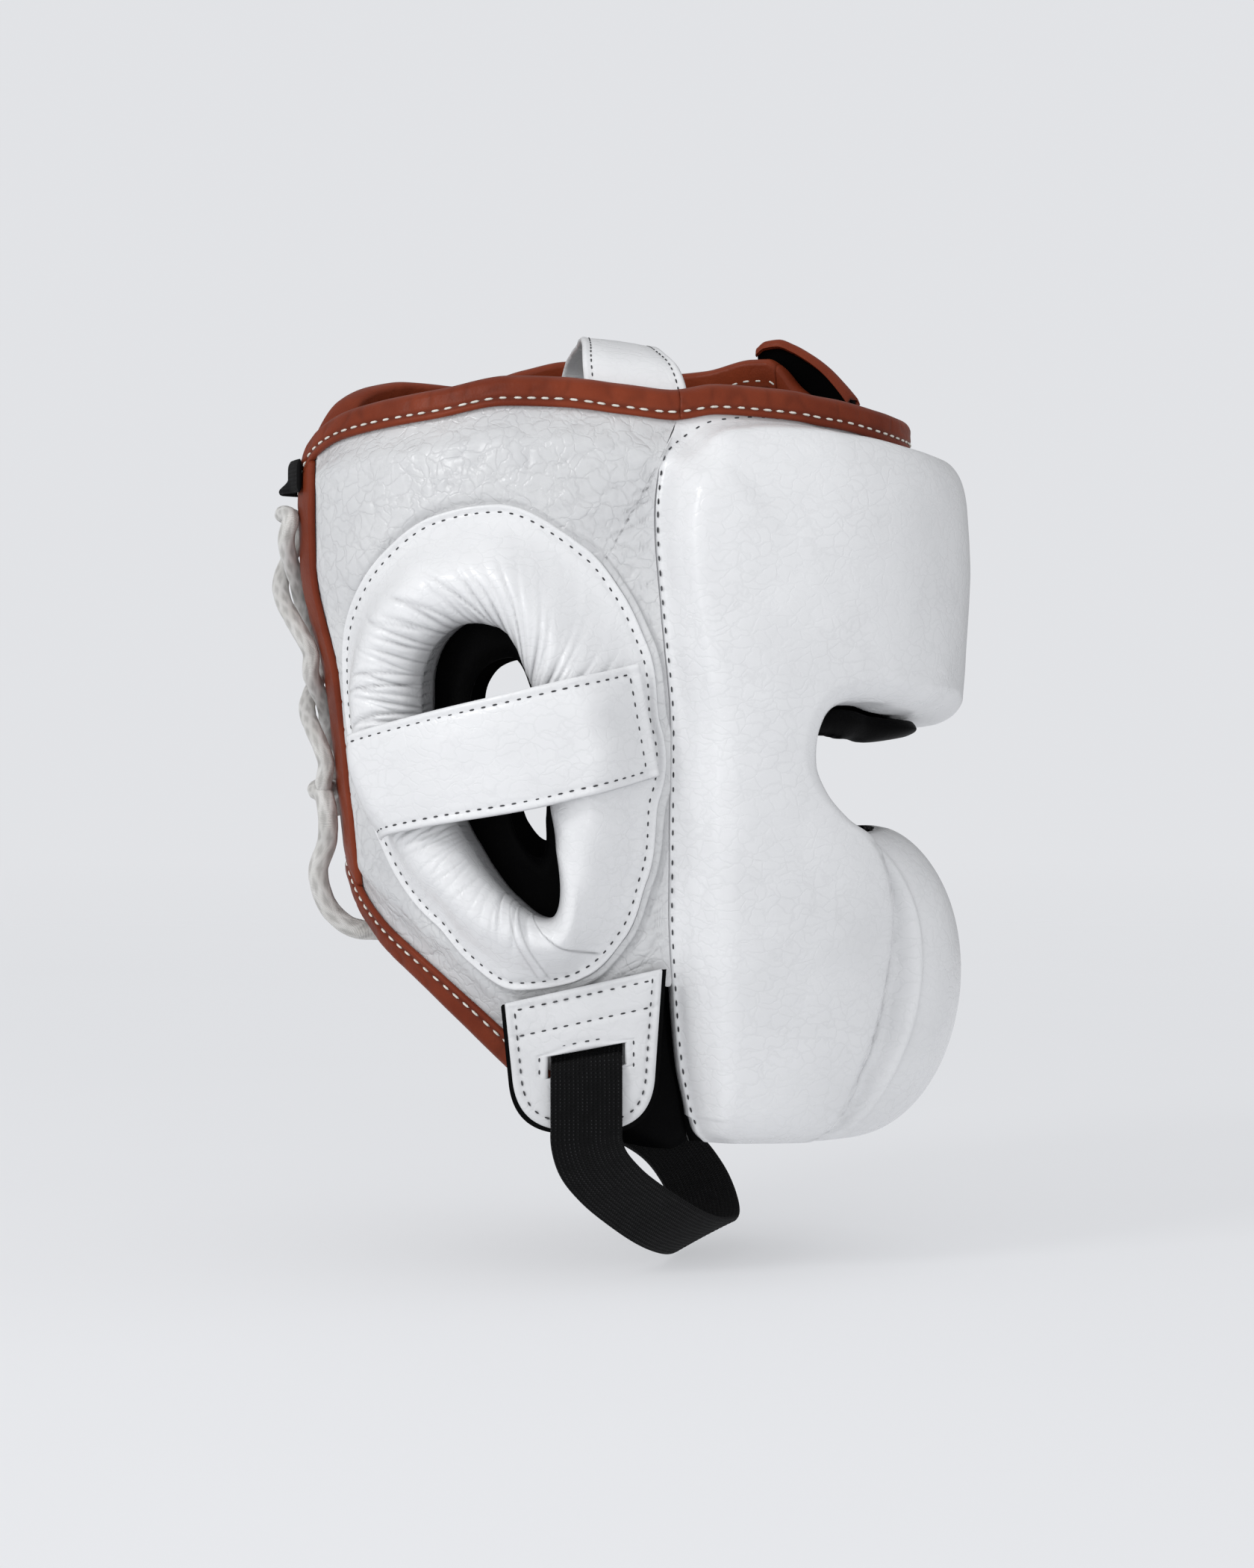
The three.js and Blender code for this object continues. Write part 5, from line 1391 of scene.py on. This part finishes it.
def make_tabs():
    """Chin tabs: a stitched white plate with a slot on a black backing that shows round it."""
    lines = []
    slope = math.tan(math.radians(TAB["slope"]))

    def uneven(along, up):
        return 0.2 * field(along / 8, up / 8, 160)

    for side in (-1, 1):
        name = side_name(side)

        def relief(along, up, from_edge, from_slot):
            second = up - along * slope + TAB_SECOND_ROW
            round_slot = hump(from_slot - SLOT_SEWN_OUT, 0.9) * (up > SLOT["up"] - 6)
            groove = 0.45 * hump(from_edge - TAB_SEWN_IN, 0.9) + 0.4 * hump(second, 0.9) + 0.4 * round_slot
            return 0.35 * smooth((from_edge - 3) / 6) + uneven(along, up) - groove

        make_plate(f"tab_backing_{name}", side, TAB["rim"], 0.0, TAB["backing"], BLACK, 0.4,
                   lambda along, up, from_edge, from_slot: 0 * along, TAB_BACKING_RAYS, TAB_BACKING_RINGS)
        seat = TAB["backing"] + TAB_GAP
        make_plate(f"chin_tab_{name}", side, 0.0, seat, TAB["leather"], TAB_WHITE, 0.9,
                   relief, TAB_RAYS, TAB_RINGS)
        edge = inset_line(tab_outline(0.0), TAB_SEWN_IN)
        sides = edge[6:-64]
        xs = np.linspace(-24, 24, 40)
        top = np.stack([xs, xs * slope - TAB_SEWN_IN], -1)
        xs = np.linspace(-23.4, 23.4, 40)
        second = np.stack([xs, xs * slope - TAB_SECOND_ROW], -1)
        tilt = math.tan(math.radians(SLOT["slope"]))
        reach, high = SLOT["half"] + SLOT_SEWN_OUT, SLOT["height"] / 2 + SLOT_SEWN_OUT
        xs = np.linspace(-reach, reach, 30)
        box = np.concatenate([
            np.stack([np.full(10, -reach), np.linspace(-high, high, 10) - reach * tilt], -1),
            np.stack([xs, xs * tilt + high], -1),
            np.stack([np.full(10, reach), np.linspace(high, -high, 10) + reach * tilt], -1),
        ]) + (SLOT["along"], SLOT["up"])
        outward = np.array([0, side, 0.0])
        for run in (sides, top, second, box):
            level = seat + TAB["leather"] + uneven(run[:, 0], run[:, 1]) + 0.07
            points = on_tab(side, run[:, 0], run[:, 1], level)
            lines.append((points, np.tile(outward, (len(points), 1))))
    stitch_rows("chin_tab_stitches", lines, DARK_THREAD)


def make_chin_strap():
    """Black elastic from behind each tab, out through its slot and round under the chin; ribbed along it."""
    up, out = ELASTIC_PATH["up"] + SLOT["up"], ELASTIC_PATH["out"]
    right, left = (on_tab(side, SLOT["along"] + 0 * up, up, out) for side in (-1, 1))
    chin = np.stack([CHIN_STRAP[key] for key in "xyz"], -1)
    knots = np.concatenate([right, chin, left[::-1]])
    at_tab = np.full(len(up), SLOT["slope"])
    rise = np.concatenate([at_tab, CHIN_STRAP["rise"], at_tab])
    middle = curve(knots, ELASTIC_PARTS)
    by_knot = {"count": np.arange(len(rise), dtype=float), "rise": rise}
    lift = np.radians(column(by_knot, "count", "rise", np.arange(len(middle)) / ELASTIC_PARTS))
    across = np.stack([np.cos(lift), 0 * lift, np.sin(lift)], -1)
    width = np.full(len(middle), float(ELASTIC_WIDTH))
    ribs = np.linspace(0, ELASTIC_WIDTH, ELASTIC_COLUMNS)

    def marks(from_edge):
        return 0.1 * np.sin(ribs * 2 * np.pi / RIB_PITCH)[None] + 0 * from_edge

    points, _, _ = band(middle, across, width, ELASTIC, marks, ELASTIC_COLUMNS)
    around = np.concatenate([ribs, ribs[::-1], [0]])
    skin("chin_strap_soft", points, ELASTIC_WEAVE, replaces=["chin_strap"],
         uv=(length_along(middle), around))


def lace_point(y, z, lift):
    """Point of the lace behind the back edges."""
    seat = EDGE + 0.45 + BINDING_WALL + LACE_RADIUS + 1
    return on_head(180 - y / BACK_MM_PER_DEGREE, z, seat + lift)


def lace_strand(first):
    """One strand of the lace: turns on the facings, crossing to the other side between the rows."""
    points = []
    for row, z in enumerate(LACE_ROWS):
        side = first if row % 2 == 0 else -first
        last = row == len(LACE_ROWS) - 1
        points.append(lace_point(side * LACE_TURN_Y, z, 1.6 if last else 0))
        if not last:
            below = LACE_ROWS[row + 1]
            points.append(lace_point(side * LACE_TURN_Y * 0.9, z - 7, 1.5))
            lift = LACE_OVER if (row % 2 == 0) == (first > 0) else LACE_UNDER
            points.append(lace_point(0, (z + below) / 2, lift))
            points.append(lace_point(-side * LACE_TURN_Y * 0.9, below + 7, 1.5))
    return np.array(points)


def make_lace():
    """Braided lace: a round tube whose radius swells where two sets of helical strands cross."""
    top = lace_point(0, LACE_ROWS[0] + 3, 2)
    knots = np.concatenate([lace_strand(-1)[::-1], [top], lace_strand(1), LACE_FOOT])
    rough = curve(knots, 40)
    reach = length_along(rough)
    even = np.linspace(0, reach[-1], int(reach[-1] / LACE_STEP))
    middle = np.stack([np.interp(even, reach, rough[:, k]) for k in range(3)], -1)
    way = unit(np.gradient(middle, axis=0))
    outward = middle - np.array([WIDEST_X, 0, 0])
    outward[:, 2] = 0
    normal = unit(outward - np.sum(outward * way, -1, keepdims=True) * way)
    side = np.cross(way, normal)
    turn = np.linspace(0, 2 * np.pi, LACE_SIDES, endpoint=False)
    lead = 2 * np.pi * even[:, None] / BRAID_PITCH
    over = np.maximum(np.sin(BRAID_STRANDS * turn + lead), np.sin(BRAID_STRANDS * turn - lead))
    in_loop = smooth((even / even[-1] - 0.82) / 0.06)[:, None]
    radius = LACE_RADIUS * (0.965 + 0.035 * over) * (1 + 0.18 * in_loop)
    spoke = np.cos(turn)[:, None] * normal[:, None] + np.sin(turn)[:, None] * side[:, None]
    points = middle[:, None] + radius[..., None] * spoke
    # The valley mark is painted shade, darkest where the strands dip
    skin("back_lace_soft", points, LACE_BRAID, replaces=["back_lace"],
         marks={"valley": np.clip(0.45 - over * 0.7, 0, 0.7)},
         uv=(even, np.linspace(0, 2 * np.pi * LACE_RADIUS, LACE_SIDES + 1)))


def make_webbing():
    """Black webbing across the top of the back, bowed between the rim's corners."""
    angle = np.linspace(WEBBING["first"], WEBBING["last"], WEBBING_SECTIONS)[:, None]
    seat = EDGE + FOLD_ROOM + BINDING_WALL + 0.6
    z = np.linspace(WEBBING["low"], WEBBING["high"], WEBBING_COLUMNS)[None]
    flare = smooth((WEBBING["low"] + 5.5 - z) / 5)
    bow = lerp(0.8, 4.6, flare) * smooth((10 - np.abs(angle - 180)) / 8)
    from_edge = np.minimum(z - WEBBING["low"], WEBBING["high"] - z)
    soft = 0.8 * np.clip(1 - from_edge / 2.6, 0, 1) ** 2
    over = on_head(angle, z, seat + bow + WEBBING["thick"] - soft)
    under = on_head(angle, z[:, ::-1], seat + bow[:, ::-1] + soft[:, ::-1])
    points = np.concatenate([over, under], axis=1)
    up = z[0] - WEBBING["low"]
    around = np.concatenate([up, up[::-1], [0]])
    skin("back_webbing_soft", points, ELASTIC_WEAVE, replaces=["back_webbing"],
         uv=(length_along(over[:, WEBBING_COLUMNS // 2]), around))


def make_flap():
    """Leaf that stands up at the left top of the forehead, lined in black, with a thin bound edge."""
    angle = np.linspace(*FLAP_ANGLES, FLAP_SECTIONS)
    top = column(FLAP_TOP, "angle", "z", angle)
    v = np.linspace(0, 1, FLAP_COLUMNS)[None]
    z = lerp((rim_top(1, angle) - FLAP_FOOT)[:, None], (top - RIM_UNDER_BINDING)[:, None], v)
    wave = 0.3 * field(angle[:, None] / 4, z / 7, 170)
    inner = on_head(angle[:, None], z[:, ::-1], FLAP_INNER + 0 * z)
    outer = on_head(angle[:, None], z, FLAP_OUTER - np.abs(wave))
    skin("forehead_flap_soft", np.concatenate([outer, inner], axis=1), BLACK,
         replaces=["forehead_flap"])
    make_binding("flap_binding", 171, angle, top - RIM_UNDER_BINDING, straight_down(angle), 2.4, 1.6,
                 low=FLAP_INNER, high=FLAP_OUTER, sewn=None)


# Stitches on white leather

def even_out(points, reach=9):
    """Run of points with each one moved to the mean of its neighbours."""
    ends = np.concatenate([np.repeat(points[:1], reach, 0), points, np.repeat(points[-1:], reach, 0)])
    total = np.concatenate([np.zeros((1, 3)), np.cumsum(ends, 0)])
    return (total[2 * reach + 1:] - total[:-2 * reach - 1]) / (2 * reach + 1)


def make_white_leather_stitches():
    """Dark stitches along the front pad's back seams, round the ear pads, and round the ear strips."""
    seam_rows, pad_stitches, strap_rows = [], [], []
    for side in (-1, 1):
        counts = np.concatenate([np.linspace(1.2, 13.4, 300), np.linspace(13.4, 15.95, 220)[1:]])
        row = pad_row(counts if side < 0 else LAST_ROW - counts)
        edge, lip, _ = pad_foot(counts, row)
        inset = lerp(1.0, lip - 0.5, smooth((counts - 12.6) / 0.8))[:, None]
        line = even_out(pad_place(row, inset, edge[:, None] + 0.05)[:, 0])
        raised = even_out(pad_place(row, inset, edge[:, None] + 1.05)[:, 0])
        seam_rows.append((line, raised - line))
        direction = np.linspace(-180, 180, 720)
        sewn, hole = ear_radius("pad", direction), ear_radius("hole", direction)
        share = EAR_PAD_SEWN_IN / (sewn - hole)
        at, level = ear_place(direction, sewn - EAR_PAD_SEWN_IN)
        height = panel_height(side, at, level) + EAR_PAD_GAP + ear_pad_top(direction, share) + 0.1
        points = on_head(side * at, level, height)
        pad_stitches.append((points, on_head(side * at, level, height + 1) - points))
        run = np.linspace(STRAP_SEWN_ANGLE, 132, 120)
        across = np.linspace(STRAP_SEWN_SHARE, 1 - STRAP_SEWN_SHARE, 60)
        for angle, v in ((run, 1 - STRAP_SEWN_SHARE), (run, STRAP_SEWN_SHARE), (STRAP_SEWN_ANGLE, across)):
            angle, v = np.broadcast_arrays(angle, v)
            line = ear_strap_place(side, angle, v, STRAP_LEATHER - 0.35)
            outward = line - np.array([WIDEST_X, 0, 0])
            outward[:, 2] = 0
            strap_rows.append((line, unit(outward * (0.3, 1, 1))))
    stitch_rows("front_seam_stitches", seam_rows, DARK_THREAD)
    stitch_rows("ear_pad_stitches", pad_stitches, DARK_THREAD)
    stitch_rows("ear_strap_stitches", strap_rows, DARK_THREAD)


# Stage, light and camera

LIT_FROM = (-0.20, -0.90, 0.38)
LIT_STRENGTH = {"To Min": 0.24, "To Max": 0.93}
PALE_WALL = (0.775, 0.785, 0.81, 1)
WALL_STRENGTH = 0.98
FLOOR_RADIUS = 4.0
FLOOR_GAP = 0.0006
FLOOR_RINGS = 24
FLOOR_SPOKES = 96
OBJECT_MIDDLE = (0, 0, -0.15)
# Soft boxes: place, width and height, power in watts
SOFT_BOXES = {
    "key_soft_box": ((-1.0, -1.1, 0.85), (0.45, 0.45), 7.5),
    "strip_soft_box": ((-1.15, -1.25, -0.1), (0.2, 1.2), 2.2),
    "front_soft_box": ((0.35, -1.55, -0.05), (0.9, 0.9), 2.0),
}
# Camera: what it looks at, how far off, how far down in degrees, its sensor, and the picture's scale
CAMERA_TARGET = (0.0055, 0.0, -0.1581)
CAMERA_AWAY = 1.5
CAMERA_LOOK_DOWN = 1.5
CAMERA_SENSOR = 36
METRES_PER_PIXEL = 0.000275
PICTURE_HEIGHT = 2100


def make_surround():
    """Studio round the object: an even pale wall to the eye; its light falls off away from the lit side.

    The light's strength runs straight from its low to its high with the cosine to the lit side.
    """
    world = bpy.data.worlds.new("studio")
    scene.world = world
    world.use_nodes = True
    tree = world.node_tree
    wall = tree.nodes["Background"]
    wall.inputs["Color"].default_value = PALE_WALL
    wall.inputs["Strength"].default_value = WALL_STRENGTH
    light = tree.nodes.new("ShaderNodeBackground")
    light.inputs["Color"].default_value = (0.97, 0.98, 1.0, 1)
    place = tree.nodes.new("ShaderNodeTexCoord")
    toward = tree.nodes.new("ShaderNodeVectorMath")
    toward.operation = "DOT_PRODUCT"
    toward.inputs[1].default_value = LIT_FROM
    strength = tree.nodes.new("ShaderNodeMapRange")
    for key, value in {"From Min": -1.0, "From Max": 1.0, **LIT_STRENGTH}.items():
        strength.inputs[key].default_value = value
    path = tree.nodes.new("ShaderNodeLightPath")
    mix = tree.nodes.new("ShaderNodeMixShader")
    tree.links.new(place.outputs["Generated"], toward.inputs[0])
    tree.links.new(toward.outputs["Value"], strength.inputs["Value"])
    tree.links.new(strength.outputs["Result"], light.inputs["Strength"])
    tree.links.new(path.outputs["Is Camera Ray"], mix.inputs[0])
    tree.links.new(light.outputs["Background"], mix.inputs[1])
    tree.links.new(wall.outputs["Background"], mix.inputs[2])
    tree.links.new(mix.outputs["Shader"], tree.nodes["World Output"].inputs["Surface"])


def make_floor():
    """Pale round floor just under the object, in rings round a flat middle, fading into the surround."""
    floor_z = cad_box[0][2] - FLOOR_GAP
    turn = np.linspace(0, 2 * np.pi, FLOOR_SPOKES, endpoint=False)
    rings = np.linspace(0.02, 1, FLOOR_RINGS)[:, None] * FLOOR_RADIUS
    grid = np.stack(np.broadcast_arrays(rings * np.cos(turn), rings * np.sin(turn), floor_z), -1)
    n, m = grid.shape[:2]
    i, j = np.arange(n - 1)[:, None], np.arange(m)[None, :]
    beside = (j + 1) % m
    quads = np.broadcast_arrays(i * m + j, (i + 1) * m + j, (i + 1) * m + beside, i * m + beside)
    faces = np.stack(quads, -1).reshape(-1, 4).tolist() + [np.arange(m).tolist()]
    mesh = bpy.data.meshes.new("floor")
    mesh.from_pydata(grid.reshape(-1, 3).tolist(), [], faces)
    floor = bpy.data.objects.new("floor", mesh)
    scene.collection.objects.link(floor)
    made, tree, shader, add = finish("pale_floor")
    place = add("TexCoord").outputs["Object"]
    far = add("VectorMath", {0: place}, operation="LENGTH").outputs["Value"]
    fade = spread(add, far, 0.8, 3.2)
    mottle = add("TexNoise", {"Vector": place}, Scale=3.0, Detail=2.0).outputs["Fac"]
    tone = blend(add, mottle, (0.34, 0.343, 0.35, 1), (0.36, 0.363, 0.37, 1))
    tree.links.new(tone, shader.inputs["Base Color"])
    shader.inputs["Emission Color"].default_value = PALE_WALL
    shader.inputs["Emission Strength"].default_value = 0.62
    shader.inputs["Roughness"].default_value = 0.85
    shader.inputs["Specular IOR Level"].default_value = 0.1
    clear = add("BsdfTransparent")
    mixed = add("MixShader", {0: fade, 1: shader.outputs["BSDF"], 2: clear.outputs["BSDF"]})
    tree.links.new(mixed.outputs["Shader"], tree.nodes["Material Output"].inputs["Surface"])
    mesh.materials.append(made)


def make_soft_boxes():
    """Soft studio lights that face the object's middle: tilted by the slope of the way to it, then turned."""
    for name, (place, size, watts) in SOFT_BOXES.items():
        light = bpy.data.lights.new(name, "AREA")
        light.shape = "RECTANGLE"
        light.size, light.size_y = size
        light.energy = watts
        lamp = bpy.data.objects.new(name, light)
        scene.collection.objects.link(lamp)
        lamp.location = place
        x, y, z = np.array(OBJECT_MIDDLE) - np.array(place)
        lamp.rotation_euler = (math.atan2(math.hypot(x, y), -z), 0, math.atan2(y, x) - math.pi / 2)
        lamp.visible_camera = False


def make_camera():
    """Camera at the object's right side, a little above its middle."""
    camera_data = bpy.data.cameras.new("camera")
    camera = bpy.data.objects.new("camera", camera_data)
    scene.collection.objects.link(camera)
    look_down = math.radians(CAMERA_LOOK_DOWN)
    x, y, z = CAMERA_TARGET
    camera.location = (x, y - CAMERA_AWAY * math.cos(look_down), z + CAMERA_AWAY * math.sin(look_down))
    camera.rotation_euler = (math.pi / 2 - look_down, 0, 0)
    camera_data.sensor_width = CAMERA_SENSOR
    camera_data.lens = CAMERA_SENSOR * (CAMERA_AWAY / METRES_PER_PIXEL) / PICTURE_HEIGHT
    camera_data.dof.use_dof = False
    scene.camera = camera
    scene.view_settings.view_transform = "Standard"


make_floor()
make_surround()
make_soft_boxes()
make_camera()
make_front_pad()
make_front_lining()
make_face_bar()
for side in (-1, 1):
    make_side(side)
make_bindings()
make_flap()
make_crown_strap()
make_tabs()
make_chin_strap()
make_lace()
make_webbing()
make_white_leather_stitches()
